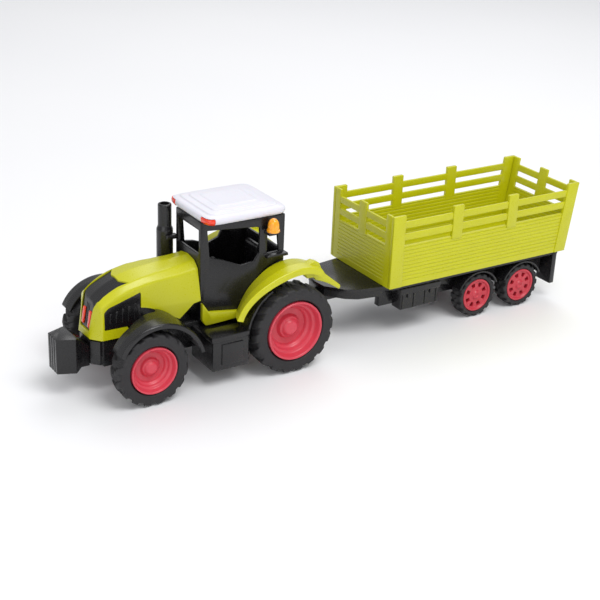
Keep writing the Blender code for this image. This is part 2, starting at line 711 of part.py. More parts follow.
def hood_group(toy, finishes):
    """The green hood, with the black grille and side panels and the red lamps in its nose."""
    lip = BODY_Z + 5.0 * MM
    hood = cut(
        hood_solid(0.0, 0.0, 0.0),
        hood_solid(HOOD_WALL, PLASTIC, PLASTIC),
        plate(nose_outline(0.0), "Z", lip, CAB_TOP),
        plate(arch_outline(), "X", -2 * CHASSIS_HALF, 2 * CHASSIS_HALF),
        plate(vent_outline(0.0), "X", -2 * CHASSIS_HALF, 2 * CHASSIS_HALF),
    )
    toy.add(hood, "hood", finishes["lime"])

    panel_x = HOOD_NOSE_HALF - 0.4 * MM
    panel = plate(vent_outline(GAP), "X", panel_x - HOOD_WALL, panel_x)
    toy.add_pair(panel, "hood_panel", finishes["black"])

    recess = 0.8 * MM
    skin = hood_solid(recess, 0.0, 0.0)
    core = hood_solid(recess + 3.0 * MM, PLASTIC, PLASTIC)
    grille = combine(skin, [plate(nose_outline(GAP), "Z", lip + GAP, CAB_TOP)], "INTERSECT")
    slot = bow_band(7.0 * MM, 22.0 * MM, recess - MM, recess + 1.2 * MM)
    slots = [
        plate(slot, "X", x - 0.4 * MM, x + 0.4 * MM)
        for x in (-1.8 * MM, 0.0, 1.8 * MM)
    ]
    lamp_outer = NOSE_SLIT - 2 * GAP
    lamp_inner = lamp_outer - 3.0 * MM
    pocket = plate(
        bow_band(7.0 * MM - GAP, 18.0 * MM + GAP, recess - MM, recess + 1.5 * MM),
        "X", lamp_inner - GAP, lamp_outer + MM,
    )
    grille = cut(grille, core, *slots, mirrored(pocket, "pocket"), pocket)
    toy.add(grille, "grille", finishes["black"])
    lamp = plate(bow_band(7.0 * MM, 18.0 * MM, 0.0, recess + 1.5 * MM - GAP), "X", lamp_inner, lamp_outer)
    toy.add_pair(lamp, "headlight", finishes["red_lens"])


# ---------------------------------------------------------------- rear fenders

def cab_side(y):
    """The cab's half-width at a place along it: the doors taper towards the hood."""
    if y >= CAB_CORNER:
        return CAB_HALF
    share = (y - CAB_FRONT) / (CAB_CORNER - CAB_FRONT)
    return CAB_FRONT_HALF + (CAB_HALF - CAB_FRONT_HALF) * share


# share of the way over the wheel, and the reach beyond the tyre at the cab and at the lip, in mm
FENDER_REACH = (
    (0.00, 3.3, 16.0), (0.15, 4.3, 15.3), (0.27, 5.6, 13.6), (0.40, 7.9, 11.9), (0.56, 10.8, 11.9),
    (0.75, 12.7, 12.8), (1.00, 13.6, 13.5),
)


def fender_reach(share, side):
    """The fender's distance from the axle at a share of its way: side 1 at the cab, 2 at the lip."""
    for first, second in zip(FENDER_REACH, FENDER_REACH[1:]):
        if share <= second[0]:
            part = (share - first[0]) / (second[0] - first[0])
            return REAR_TYRE_R + (first[side] + (second[side] - first[side]) * part) * MM
    return REAR_TYRE_R + FENDER_REACH[-1][side] * MM


def fender_ring(angle, share):
    """A section of the fender: from the cab's side out to its lip, over the tyre."""
    turn = math.radians(angle)
    points = []
    for reach, side in ((fender_reach(share, 1), 0), (fender_reach(share, 2), 1)):
        y = reach * math.cos(turn)
        z = REAR_Z + reach * math.sin(turn)
        x = FENDER_HALF if side else cab_side(y) + 2 * GAP
        points.append(Vector((x, y, z)))
    inner, outer = points
    down = Vector((0.0, -math.cos(turn), -math.sin(turn)))
    return [
        inner, outer, outer + down * 4.5 * MM, outer + down * 4.5 * MM - Vector((PLASTIC, 0, 0)),
        outer + down * PLASTIC - Vector((PLASTIC, 0, 0)), inner + down * PLASTIC,
    ]


# the lamp bracket's side outline from its root, in mm: a housing, a step, and a finger below it
BRACKET = (
    (-1.3, -0.9), (2.7, 4.1), (7.3, 5.3), (11.4, 3.7), (13.6, -0.8), (17.2, -5.7), (23.5, -11.0),
    (29.3, -15.7), (30.1, -17.7), (28.9, -19.0), (19.7, -13.1), (14.7, -10.7), (9.5, -8.7), (7.7, -6.4),
    (2.7, -6.4),
)


def rear_fenders(toy, finishes):
    """Each fender with its sill under the door and its stepped lamp bracket behind."""
    first = 160
    last = 61
    count = 12
    rings = [fender_ring(first + (last - first) * i / count, i / count) for i in range(count + 1)]
    fender = loft(rings)

    front = CAB_FRONT + 0.2 * MM
    rear = -REAR_TYRE_R + 0.5 * MM
    width = 3.2 * MM
    sill_plan = [
        (cab_side(front) + GAP, front), (cab_side(rear) + GAP, rear),
        (cab_side(rear) + width, rear), (cab_side(front) + width, front),
    ]
    sill_side = [
        (front, CHASSIS_TOP + 14.8 * MM), (front + 4.3 * MM, CHASSIS_TOP + 7.8 * MM),
        (rear - MM, CHASSIS_TOP + 7.2 * MM), (rear, CHASSIS_TOP + 2.6 * MM),
        (rear - 14.3 * MM, CHASSIS_TOP - 0.1 * MM), (front + 2.1 * MM, CHASSIS_TOP - 1.4 * MM),
        (front, CHASSIS_TOP + 2.0 * MM),
    ]
    sill = combine(
        plate(sill_side, "X", 0.0, 2 * CAB_HALF), [plate(sill_plan, "Z", 0.0, CAB_TOP)], "INTERSECT"
    )
    root = (0.30 * REAR_TYRE_R, REAR_Z + REAR_TYRE_R + 8.5 * MM)
    bracket = plate(
        [(root[0] + y * MM, root[1] + z * MM) for y, z in BRACKET],
        "X", FENDER_HALF - 11 * MM, FENDER_HALF - 5 * MM,
    )
    toy.add_pair(join(fender, sill, bracket), "rear_fender", finishes["lime"])


# ---------------------------------------------------------------- cab

def cab_plan(inset):
    front = CAB_FRONT + inset
    rear = CAB_REAR - inset
    right = [
        (CAB_FRONT_HALF - inset, front), (CAB_HALF - inset, CAB_CORNER),
        (CAB_HALF - inset, rear),
    ]
    return right + [(-x, y) for x, y in right[::-1]]


def cab_frame(toy, motor_top, finishes):
    """Four walls in one moulding, opened by the screen, the doors and the quarter lights."""
    sill = REAR_Z + REAR_TYRE_R + SILL_CLEARANCE
    head = CAB_TOP - 6.0 * MM
    frame = cut(
        plate(cab_plan(0.0), "Z", BODY_Z, CAB_TOP),
        plate(cab_plan(CAB_WALL), "Z", BODY_Z - MM, CAB_TOP + MM),
    )
    reach = 2 * CAB_HALF
    door = [
        (CAB_FRONT + 6 * MM, sill), (CAB_FRONT + 14 * MM, sill - 2 * MM),
        (CAB_CORNER - 12 * MM, sill - 7 * MM), (CAB_CORNER - 2 * MM, sill - 5 * MM),
        (CAB_CORNER + MM, sill), (CAB_CORNER + MM, head - MM),
        (CAB_CORNER - MM, head), (CAB_FRONT + 4.5 * MM, head),
    ]
    light = [
        (CAB_CORNER + 7.0 * MM, sill - 1 * MM), (CAB_REAR - 4.0 * MM, sill - 1 * MM),
        (CAB_REAR - 6.0 * MM, head - 1 * MM), (CAB_CORNER + 7.0 * MM, head - 1 * MM),
    ]
    screen = CAB_FRONT_HALF - 3.0 * MM
    window = CAB_HALF - 5.0 * MM
    shelf = box(
        (CAB_HALF - MM, CAB_CORNER + 5 * MM, sill - 3.5 * MM),
        (CAB_HALF + 4 * MM, CAB_REAR + MM, sill - 1.5 * MM),
    )
    arm_top = head - 2.6 * MM
    arm = box(
        (CAB_HALF - MM, CAB_CORNER + 4 * MM, arm_top - 2.4 * MM),
        (CAB_HALF + 7 * MM, CAB_CORNER + 10 * MM, arm_top),
    )
    frame = cut(
        frame,
        plate(door, "X", -reach, reach),
        plate(light, "X", -reach, reach),
        box((-screen, CAB_FRONT - MM, sill + 2 * MM), (screen, CAB_FRONT + 3 * MM, head)),
        box((-window, CAB_REAR - 3 * MM, sill), (window, CAB_REAR + MM, head)),
        box(
            (-CHASSIS_HALF - GAP, CAB_REAR - 3 * MM, BODY_Z - MM),
            (CHASSIS_HALF + GAP, CAB_REAR + MM, motor_top + PLASTIC + GAP),
        ),
    )
    frame = join(frame, shelf, mirrored(shelf, "shelf"), arm)
    toy.add(frame, "cab_frame", finishes["black"])

    dome_x = CAB_HALF + 6.0 * MM
    dome_z = arm_top + GAP
    profile = [
        (0.8 * MM, dome_z + 9.0 * MM), (2.4 * MM, dome_z + 8.2 * MM), (3.7 * MM, dome_z + 6.2 * MM),
        (3.9 * MM, dome_z + 2.2 * MM), (4.3 * MM, dome_z + 2.0 * MM), (4.3 * MM, dome_z),
        (0.8 * MM, dome_z),
    ]
    dome = join(turned(profile, "Z", 20), rod(1.2 * MM, "Z", dome_z + MM, dome_z + 9.0 * MM, sides=12))
    dome.data.transform(Matrix.Translation((dome_x, CAB_CORNER + 7.5 * MM, 0.0)))
    toy.add(dome, "beacon", finishes["amber_lens"])


def cab_inside(toy, finishes):
    """The floor with its console, the seat, and the steering wheel on its column."""
    floor = REAR_Z + FLYWHEEL_R + 2.0 * MM + GAP
    top = floor + PLASTIC
    console_y = CAB_FRONT + CAB_WALL + GAP
    column_y = console_y + 6.0 * MM
    column_top = top + 27.0 * MM
    base = join(
        plate(cab_plan(CAB_WALL + GAP), "Z", floor, top),
        box((-9 * MM, console_y, top - MM), (9 * MM, column_y, column_top), bevel=1.0 * MM),
    )
    toy.add(base, "cab_interior", finishes["black"])

    seat_rear = CAB_REAR - CAB_WALL - 4.0 * MM
    seat_front = seat_rear - 20.0 * MM
    cushion = box(
        (-9 * MM, seat_front, top + GAP), (9 * MM, seat_rear, top + 13 * MM), bevel=1.8 * MM
    )
    back = box(
        (-8 * MM, seat_rear - 5 * MM, top + 6 * MM), (8 * MM, seat_rear, top + 36 * MM), bevel=1.8 * MM
    )
    toy.add(join(cushion, back), "seat", finishes["black"])

    rim_r = 6.5 * MM
    wheel = turned(arc((rim_r, 0.0), 0.9 * MM, 0, 315, 7), "Z", 24)
    spoke = box((-rim_r, -0.7 * MM, -0.6 * MM), (rim_r, 0.7 * MM, 0.6 * MM))
    hub = rod(2.0 * MM, "Z", -MM, MM, sides=12)
    column = rod(MM, "Z", -7.0 * MM, 0.5 * MM, sides=12)
    wheel = join(wheel, spoke, hub, column)
    lean = Matrix.Rotation(math.radians(60), 4, "X")
    place = Vector((0.0, column_y + 8.0 * MM, column_top - 4.0 * MM))
    wheel.data.transform(Matrix.Translation(place) @ lean)
    toy.add(wheel, "steering_wheel", finishes["black"])


def roof_group(toy, finishes):
    """The crowned roof with its raised panel, and the lamps under its front corners."""
    front = CAB_FRONT - 0.5 * MM
    rear = CAB_REAR + 2.0 * MM
    base = box((-ROOF_HALF, front, ROOF_Z), (ROOF_HALF, rear, ROOF_Z + ROOF_THICK), bevel=2.0 * MM)
    crown = box(
        (4 * MM - ROOF_HALF, front + 4 * MM, ROOF_Z + 1.0 * MM),
        (ROOF_HALF - 4 * MM, rear - 4 * MM, ROOF_Z + ROOF_THICK + ROOF_CROWN), bevel=1.8 * MM,
    )
    lamp_low = (ROOF_HALF - 9.5 * MM, front - 0.3 * MM, ROOF_Z + GAP)
    lamp_high = (ROOF_HALF + 0.3 * MM, front + 5.5 * MM, ROOF_Z + 4.2 * MM)
    pocket = box(
        (lamp_low[0] - GAP, lamp_low[1] - MM, ROOF_Z - MM),
        (lamp_high[0] + MM, lamp_high[1] + GAP, lamp_high[2] + GAP),
    )
    roof = cut(join(base, crown), mirrored(pocket, "pocket"), pocket)
    toy.add(roof, "roof", finishes["white"])
    toy.add_pair(box(lamp_low, lamp_high, bevel=0.8 * MM), "roof_light", finishes["red_lens"])


def exhaust(toy, finishes):
    """The silencer and its pipe beside the right-hand windscreen pillar, on one arm."""
    pillar = -CAB_FRONT_HALF
    x = pillar - 5.8 * MM
    y = CAB_FRONT - 5.5 * MM
    low = BODY_Z + 28.0 * MM
    waist = BODY_Z + 56.0 * MM
    top = CAB_TOP + 1.5 * MM
    arm_z = BODY_Z + 48.0 * MM
    stack = join(
        rod(5.6 * MM, "Z", low, waist, (x, y)),
        rod(4.6 * MM, "Z", waist - MM, top, (x, y)),
        box((x, y - 2 * MM, arm_z), (pillar + 2 * MM, y + 2 * MM, arm_z + 3 * MM)),
        box((pillar - 2 * MM, y, arm_z), (pillar + 2 * MM, CAB_FRONT - GAP, arm_z + 3 * MM)),
    )
    toy.add(stack, "exhaust_stack", finishes["black"])


def screws(toy, finishes):
    """Slotted screws under the chassis, which hold the lower and upper mouldings together."""
    top = CHASSIS_BOTTOM - GAP
    places = (("chassis_screw_front", FRONT_Y + 18 * MM), ("chassis_screw_middle", CAB_FRONT - 6 * MM))
    for name, y in places:
        head = rod(2.6 * MM, "Z", top - 1.2 * MM, top, (0.0, y), sides=16)
        slot = box((-2 * MM, y - 0.4 * MM, top - 2 * MM), (2 * MM, y + 0.4 * MM, top - 0.6 * MM))
        toy.add(cut(head, slot), name, finishes["steel"])


# ---------------------------------------------------------------- trailer

def trailer_chassis(toy, trailer, finishes):
    """Deck, drawbar with its eye, axle blocks, mudguards and rear guard in one moulding."""
    top = BOX_Z - GAP
    deck = top - 3.0 * MM
    inner = TRAILER_OUTER_X - TRAILER_TYRE_W - 1.0 * MM
    shoulder = BOX_FRONT - 24 * MM
    plan = [
        (0.0, HITCH_Y + 16 * MM), (10 * MM, HITCH_Y + 17 * MM), (22 * MM, shoulder - 3 * MM),
        (27 * MM, shoulder + 5 * MM), (30 * MM, BOX_FRONT), (BOX_HALF - 4 * MM, BOX_FRONT + 6 * MM),
        (BOX_HALF - 4 * MM, BOX_REAR - 3 * MM),
    ]
    outline = plan + [(-x, y) for x, y in plan[:0:-1]]
    parts = [
        box((-5 * MM, HITCH_Y + 4 * MM, HITCH_Z + GAP), (5 * MM, BOX_FRONT, HITCH_Z + EYE_H)),
        rod(EYE_R, "Z", HITCH_Z + GAP, HITCH_Z + EYE_H, (0.0, HITCH_Y)),
        box((-9 * MM, HITCH_Y + 18 * MM, HITCH_Z + GAP), (9 * MM, BOX_FRONT + 10 * MM, deck + MM)),
    ]
    sides = (
        box(
            (inner - 5 * MM, BOX_FRONT + 4 * MM, TRAILER_Z + 3 * MM),
            (inner, BOX_REAR - 5 * MM, deck + MM),
        ),
        box(
            (inner - 2 * MM, BOX_REAR - 8 * MM, TRAILER_Z - 4 * MM),
            (TRAILER_OUTER_X + 0.4 * MM, BOX_REAR - 4 * MM, deck + MM),
        ),
    )
    for side in sides:
        parts += [mirrored(side, "side"), side]
    rim = [(0.985 * x, y + 0.3 * MM) for x, y in plan[:5]]
    rim += [(0.94 * x, y + 1.5 * MM) for x, y in plan[4::-1]]
    half = plate(rim, "Z", deck - 4.5 * MM, top - MM)
    parts += [half, mirrored(half, "rim")]
    for y in TRAILER_AXLES:
        low = TRAILER_Z - 3.6 * MM
        parts.append(box((-inner, y - 5 * MM, low), (inner, y + 5 * MM, TRAILER_Z + 6 * MM)))
        arch = plate(
            band((y, TRAILER_Z), TRAILER_TYRE_R + 2.6 * MM, 24, 156, 12, 1.2 * MM),
            "X", inner - MM, TRAILER_OUTER_X + 0.4 * MM,
        )
        parts += [mirrored(arch, "arch"), arch]
    body = join(plate(outline, "Z", deck, top), *parts)
    bores = [
        rod(AXLE_R + GAP, "X", -BOX_HALF, BOX_HALF, (y, TRAILER_Z), sides=16) for y in TRAILER_AXLES
    ]
    eye = rod(HITCH_PIN_R + GAP, "Z", HITCH_Z - MM, HITCH_Z + EYE_H + MM, (0.0, HITCH_Y))
    body = cut(body, eye, *bores)
    body.data.transform(Matrix.Translation((0.0, -HITCH_Y, 0.0)))
    toy.add(body, "trailer_chassis", finishes["black"], trailer)


def side_board(toy, trailer, finishes):
    """A planked side with two rails between four posts; its rear end leans with the tailgate."""
    rise = BOARD_H + 2 * (RAIL_GAP + RAIL_H)
    full = rise + POST_TOP
    skin = 0.1 * MM

    def lean(height):
        return BOX_REAR + TAIL_RAKE * height / full

    def rear_post(height):
        return lean(height) - CORNER_POST_W

    bay = (BOX_LENGTH - 2 * CORNER_POST_W - 2 * POST_W) / 3
    first = BOX_FRONT + CORNER_POST_W + bay
    posts = [
        (BOX_FRONT, BOX_FRONT + CORNER_POST_W), (first, first + POST_W),
        (first + POST_W + bay, first + 2 * POST_W + bay),
    ]
    outline = [
        (BOX_FRONT, 0.0), (lean(0.0), 0.0), (lean(full), full), (rear_post(full), full),
        (rear_post(rise), rise),
    ]
    for low, high in posts[::-1]:
        outline += [(high, rise), (high, full), (low, full)]
        if low > BOX_FRONT:
            outline.append((low, rise))
    holes = []
    for k in range(2):
        z0 = BOARD_H + k * (RAIL_GAP + RAIL_H)
        z1 = z0 + RAIL_GAP
        ends = [(low, low) for low, _ in posts[1:]] + [(rear_post(z0), rear_post(z1))]
        for (_, start), (end0, end1) in zip(posts, ends):
            holes.append([(start, z0), (start, z1), (end1, z1), (end0, z0)])
    outer = BOX_HALF - RIB
    board = plate(outline, "X", outer - BOARD_THICK, outer, holes=holes)
    ribs = [
        box((outer - MM, low, BOARD_H - 2 * MM), (BOX_HALF, high, full - skin)) for low, high in posts[1:]
    ]
    ribs.append(box((outer - MM, BOX_FRONT + skin, skin), (BOX_HALF, posts[0][1], full - skin)))
    corner = [
        (rear_post(0.0), skin), (lean(0.0) - skin, skin),
        (lean(full) - skin, full - skin), (rear_post(full), full - skin),
    ]
    ribs.append(plate(corner, "X", outer - MM, BOX_HALF))
    board = join(board, *ribs)
    board.data.transform(Matrix.Translation((0.0, -HITCH_Y, BOX_Z)))
    toy.add_pair(board, "side_board", finishes["lime"], trailer)


def end_board(half):
    """An end board's outline with its rails and posts, as a plate lying across the toy."""
    rise = BOARD_H + 2 * (RAIL_GAP + RAIL_H)
    full = rise + POST_TOP
    post = POST_W / 2
    edge = half - CORNER_POST_W * 0.6
    outline = [
        (-half, 0.0), (half, 0.0), (half, full), (edge, full), (edge, rise), (post, rise),
        (post, full), (-post, full), (-post, rise), (-edge, rise), (-edge, full), (-half, full),
    ]
    holes = []
    for k in range(2):
        z0 = BOARD_H + k * (RAIL_GAP + RAIL_H)
        for low, high in ((-edge, -post), (post, edge)):
            holes.append([(low, z0), (high, z0), (high, z0 + RAIL_GAP), (low, z0 + RAIL_GAP)])
    return outline, holes, full


def trailer_body(toy, trailer, finishes):
    """The load floor between the headboard, the raked tailgate and the side boards."""
    inner = BOX_HALF - RIB - BOARD_THICK - GAP
    end = BOARD_THICK + GAP
    floor = box((-inner, BOX_FRONT + end, BOX_Z), (inner, BOX_REAR - end - GAP, BOX_Z + BOARD_THICK))
    outline, holes, full = end_board(inner)
    head = plate(outline, "Y", BOX_FRONT, BOX_FRONT + BOARD_THICK, holes=holes)
    head.data.transform(Matrix.Translation((0.0, 0.0, BOX_Z)))
    tail = plate(outline, "Y", -BOARD_THICK, 0.0, holes=holes)
    shear = Matrix.Identity(4)
    shear[1][2] = TAIL_RAKE / full
    tail.data.transform(Matrix.Translation((0.0, BOX_REAR, BOX_Z)) @ shear)
    for made, name in ((floor, "bed_floor"), (head, "headboard"), (tail, "tailgate")):
        made.data.transform(Matrix.Translation((0.0, -HITCH_Y, 0.0)))
        toy.add(made, name, finishes["lime"], trailer)


def tool_boxes(toy, trailer, finishes):
    """A lidded box hung under each side of the deck, in front of the wheels."""
    top = BOX_Z - 3.0 * MM - 2 * GAP
    front = BOX_FRONT + 14 * MM
    rear = front + 34 * MM
    inner = TRAILER_OUTER_X - TRAILER_TYRE_W + MM
    outer = TRAILER_OUTER_X + 0.8 * MM
    body = box((inner, front, top - 17 * MM), (outer - 1.2 * MM, rear, top - MM), bevel=0.8 * MM)
    lid = box((inner, front - MM, top - 5 * MM), (outer, rear + MM, top), bevel=0.8 * MM)
    made = join(body, lid)
    made.data.transform(Matrix.Translation((0.0, -HITCH_Y, 0.0)))
    toy.add_pair(made, "tool_box", finishes["black"], trailer)


def trailer_wheels(toy, trailer, finishes):
    recess = 0.7 * MM
    bore = TRAILER_RIM_R + GAP
    for name, y in zip(("trailer_front", "trailer_rear"), TRAILER_AXLES):
        carrier = toy.carrier(name + "_wheel_axis", (0.0, y - HITCH_Y, TRAILER_Z), trailer)
        wheel_set(
            toy, name, carrier,
            tyre(TRAILER_TYRE_R, TRAILER_TYRE_W, bore, TRAILER_LUGS, TRAILER_LUG_DEPTH, TRAILER_OUTER_X),
            flat_rim(TRAILER_RIM_R, TRAILER_TYRE_W - recess, TRAILER_OUTER_X - recess),
            TRAILER_OUTER_X - 2.0 * MM, finishes,
        )


# ---------------------------------------------------------------- the toy

def build():
    clear_scene()
    lime = plastic("lime_plastic", (0.42, 0.46, 0.01), 0.32)
    black = plastic("black_plastic", (0.012, 0.012, 0.013), 0.35)
    finishes = {
        "lime": lime,
        "black": black,
        "white": plastic("white_plastic", (0.82, 0.82, 0.86), 0.35),
        "red_lens": plastic("red_lens", (0.70, 0.06, 0.02), 0.2),
        "amber_lens": plastic("amber_lens", (0.90, 0.45, 0.02), 0.2),
        "nylon": plastic("natural_nylon", (0.75, 0.73, 0.66), 0.45),
        "steel": plastic("plated_steel", (0.60, 0.60, 0.62), 0.3, 1.0),
        "tyre": plastic("soft_tyre", (0.02, 0.02, 0.02), 0.6),
        "rim": plastic("coral_plastic", (0.70, 0.05, 0.08), 0.35),
    }
    toy = Assembly("toy_tractor")
    rear = tractor_wheels(toy, finishes)
    motor = friction_motor(toy, rear, finishes)
    tractor_chassis(toy, motor, finishes)
    front_weight(toy, finishes)
    front_mudguards(toy, finishes)
    side_steps(toy, finishes)
    hood_group(toy, finishes)
    rear_fenders(toy, finishes)
    cab_frame(toy, motor[3], finishes)
    cab_inside(toy, finishes)
    roof_group(toy, finishes)
    exhaust(toy, finishes)
    screws(toy, finishes)

    trailer = toy.carrier("trailer_yaw_axis", (0.0, HITCH_Y, 0.0), toy.root)
    trailer_chassis(toy, trailer, finishes)
    trailer_body(toy, trailer, finishes)
    side_board(toy, trailer, finishes)
    tool_boxes(toy, trailer, finishes)
    red = dict(finishes, rim=plastic("red_plastic", (0.62, 0.03, 0.05), 0.35))
    trailer_wheels(toy, trailer, red)


build()
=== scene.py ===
"""A toy farm tractor and its stake-sided trailer, dressed for a studio picture.

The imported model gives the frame: where each part is and which body carries it. The classes
here put a finely shaped surface in place of each plain solid and give it the finish of the
real moulding. Lengths are metres; the nose points to -Y, up is +Z and +X is the driver's left.
"""

import json
import logging
import math
from dataclasses import dataclass
from enum import Enum

import bmesh
import bpy
import numpy as np
from mathutils import Matrix, Vector


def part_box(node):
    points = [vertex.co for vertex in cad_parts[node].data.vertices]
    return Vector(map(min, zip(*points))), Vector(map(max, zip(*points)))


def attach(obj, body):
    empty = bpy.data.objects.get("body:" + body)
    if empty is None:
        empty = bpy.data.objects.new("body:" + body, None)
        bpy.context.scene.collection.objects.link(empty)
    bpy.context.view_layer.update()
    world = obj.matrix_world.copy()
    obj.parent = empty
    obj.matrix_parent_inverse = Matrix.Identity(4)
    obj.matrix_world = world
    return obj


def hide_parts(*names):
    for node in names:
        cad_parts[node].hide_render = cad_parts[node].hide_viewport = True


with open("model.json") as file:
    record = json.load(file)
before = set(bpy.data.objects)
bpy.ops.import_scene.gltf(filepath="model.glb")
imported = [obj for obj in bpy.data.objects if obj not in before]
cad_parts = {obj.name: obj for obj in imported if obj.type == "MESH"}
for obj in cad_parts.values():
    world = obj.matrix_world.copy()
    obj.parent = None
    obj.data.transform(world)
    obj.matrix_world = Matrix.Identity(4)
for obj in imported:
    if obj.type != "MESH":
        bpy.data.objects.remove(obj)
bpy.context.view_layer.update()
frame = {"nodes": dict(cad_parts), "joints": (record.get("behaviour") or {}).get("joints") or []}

log = logging.getLogger("toy_tractor")
Array = np.ndarray
Piece = bpy.types.Object
MM = 0.001
FULL_TURN = 2.0 * math.pi


# ------------------------------------------------------------------ surfaces

def mesh_piece(name: str, points: Array, faces: Array) -> Piece:
    """Put arrays of points and four-sided faces into a new mesh object.

    Args:
        name: The object's name.
        points: Vertex places, one row each.
        faces: Vertex numbers, four to a row.

    Returns:
        The object, linked to the scene.
    """
    mesh = bpy.data.meshes.new(name)
    mesh.vertices.add(len(points))
    mesh.vertices.foreach_set("co", np.ascontiguousarray(points, np.float32).ravel())
    mesh.loops.add(faces.size)
    mesh.loops.foreach_set("vertex_index", np.ascontiguousarray(faces, np.int32).ravel())
    mesh.polygons.add(len(faces))
    mesh.polygons.foreach_set("loop_start", np.arange(0, faces.size, 4, dtype=np.int32))
    mesh.update(calc_edges=True)
    made = bpy.data.objects.new(name, mesh)
    bpy.context.scene.collection.objects.link(made)
    return made


def surface(name: str, grid: Array, closed_rows: bool = False, closed_columns: bool = False) -> Piece:
    """Turn a grid of points into a closed surface: each point joins its four neighbours.

    A way that doesn't close on itself leaves open ends, which are filled with flat faces.

    Args:
        name: The object's name.
        grid: Points in rows and columns, of shape (rows, columns, 3).
        closed_rows: Whether the last row joins the first.
        closed_columns: Whether the last column joins the first.

    Returns:
        The closed object, with its faces outwards.
    """
    rows, columns = grid.shape[:2]
    index = np.arange(rows * columns).reshape(rows, columns)
    if closed_rows:
        index = np.vstack([index, index[:1]])
    if closed_columns:
        index = np.hstack([index, index[:, :1]])
    faces = np.stack([index[:-1, :-1], index[1:, :-1], index[1:, 1:], index[:-1, 1:]], axis=-1)
    made = mesh_piece(name, grid.reshape(-1, 3), faces.reshape(-1, 4))
    return seal(made)


def seal(made: Piece, weld: float = 0.005 * MM) -> Piece:
    """Close a mesh: merge doubles, fill its open rims and turn its faces outwards.

    Args:
        made: The mesh object.
        weld: Points nearer to each other than this become one.

    Returns:
        The same object.
    """
    shape = bmesh.new()
    shape.from_mesh(made.data)
    bmesh.ops.remove_doubles(shape, verts=shape.verts, dist=weld)
    bmesh.ops.dissolve_degenerate(shape, edges=shape.edges, dist=weld / 10)
    rims = [edge for edge in shape.edges if edge.is_boundary]
    if rims:
        bmesh.ops.holes_fill(shape, edges=rims, sides=0)
    bmesh.ops.recalc_face_normals(shape, faces=shape.faces)
    if shape.calc_volume(signed=True) < 0.0:
        bmesh.ops.reverse_faces(shape, faces=shape.faces)
    shape.to_mesh(made.data)
    shape.free()
    return made


def rounded_ring(corners: Array, radius: float, count: int = 200) -> Array:
    """Round the corners of a closed outline.

    The outline is sampled evenly along its length, and each sample becomes the average of its
    neighbours under a bell curve whose width is half the rounding radius.

    Args:
        corners: The outline's corners, one row each.
        radius: The rounding radius.
        count: How many samples the rounded outline has.

    Returns:
        The samples, one row each.
    """
    ring = np.vstack([corners, corners[:1]]).astype(float)
    steps = np.linalg.norm(np.diff(ring, axis=0), axis=1)
    far = np.concatenate([[0.0], np.cumsum(steps)])
    places = np.linspace(0.0, far[-1], count, endpoint=False)
    even = np.stack([np.interp(places, far, ring[:, k]) for k in range(ring.shape[1])], axis=1)
    gap = np.minimum(places, far[-1] - places)
    bell = np.exp(-0.5 * (gap / (0.5 * radius)) ** 2)
    bell /= bell.sum()
    smooth = np.fft.ifft(np.fft.fft(even, axis=0) * np.fft.fft(bell)[:, None], axis=0)
    return smooth.real


def superellipse(angle: Array, half_x: float, half_y: float, power: float) -> Array:
    """A rounded rectangle: each of cosine and sine is raised to a small power, its sign kept.

    Args:
        angle: Where on the outline each point lies.
        half_x: Half its width.
        half_y: Half its height.
        power: 1 gives an ellipse; smaller gives squarer corners.

    Returns:
        The points, one row each.
    """
    cosine, sine = np.cos(angle), np.sin(angle)
    across = half_x * np.sign(cosine) * np.abs(cosine) ** power
    up = half_y * np.sign(sine) * np.abs(sine) ** power
    return np.stack([across, up], axis=-1)


def ease(value: Array) -> Array:
    """A smooth step from 0 to 1, flat at both ends."""
    part = np.clip(value, 0.0, 1.0)
    return part * part * (3.0 - 2.0 * part)


def turned(name: str, profile: Array, centre: Vector, axis: str, steps: int = 96) -> Piece:
    """Turn a closed profile about an axis.

    A profile point (r, a) goes to radius r and place a along the axis, for every angle.

    Args:
        name: The object's name.
        profile: Points of (radius, place along the axis), a closed ring.
        centre: The point of the axis that a is measured from.
        axis: "X" or "Z".
        steps: How many angles there are.

    Returns:
        The closed object.
    """
    angle = np.linspace(0.0, FULL_TURN, steps, endpoint=False)[:, None]
    radius, along = profile[None, :, 0], profile[None, :, 1]
    first = radius * np.cos(angle)
    second = radius * np.sin(angle)
    place = along + 0.0 * angle
    order = (place, first, second) if axis == "X" else (first, second, place)
    grid = np.stack(order, axis=-1) + np.array(centre)
    return surface(name, grid, closed_rows=True, closed_columns=True)


def prism(name: str, outline: Array, axis: str, low: float, high: float) -> Piece:
    """Carry a flat outline straight along an axis, and close both ends.

    Args:
        name: The object's name.
        outline: Corners as (y, z) for axis "X", (x, z) for "Y" and (x, y) for "Z".
        axis: The axis the outline is carried along.
        low: Where it starts.
        high: Where it ends.

    Returns:
        The closed object.
    """
    ring = np.asarray(outline, float)
    ends = np.array([low, high])[:, None] + 0.0 * ring[None, :, 0]
    first, second = ring[None, :, 0] + 0.0 * ends, ring[None, :, 1] + 0.0 * ends
    order = {"X": (ends, first, second), "Y": (first, ends, second), "Z": (first, second, ends)}[axis]
    return surface(name, np.stack(order, axis=-1), closed_columns=True)


def soft_box(name: str, low: Array, high: Array, radius: float = 0.6 * MM) -> Piece:
    """A box with rounded edges: a cube's grid, bevelled by the radius.

    Args:
        name: The object's name.
        low: The box's low corner.
        high: Its high corner.
        radius: The rounding of its edges.

    Returns:
        The closed object.
    """
    x0, y0, z0 = low
    x1, y1, z1 = high
    made = prism(name, np.array([(x0, y0), (x1, y0), (x1, y1), (x0, y1)]), "Z", z0, z1)
    return rounded(made, radius)


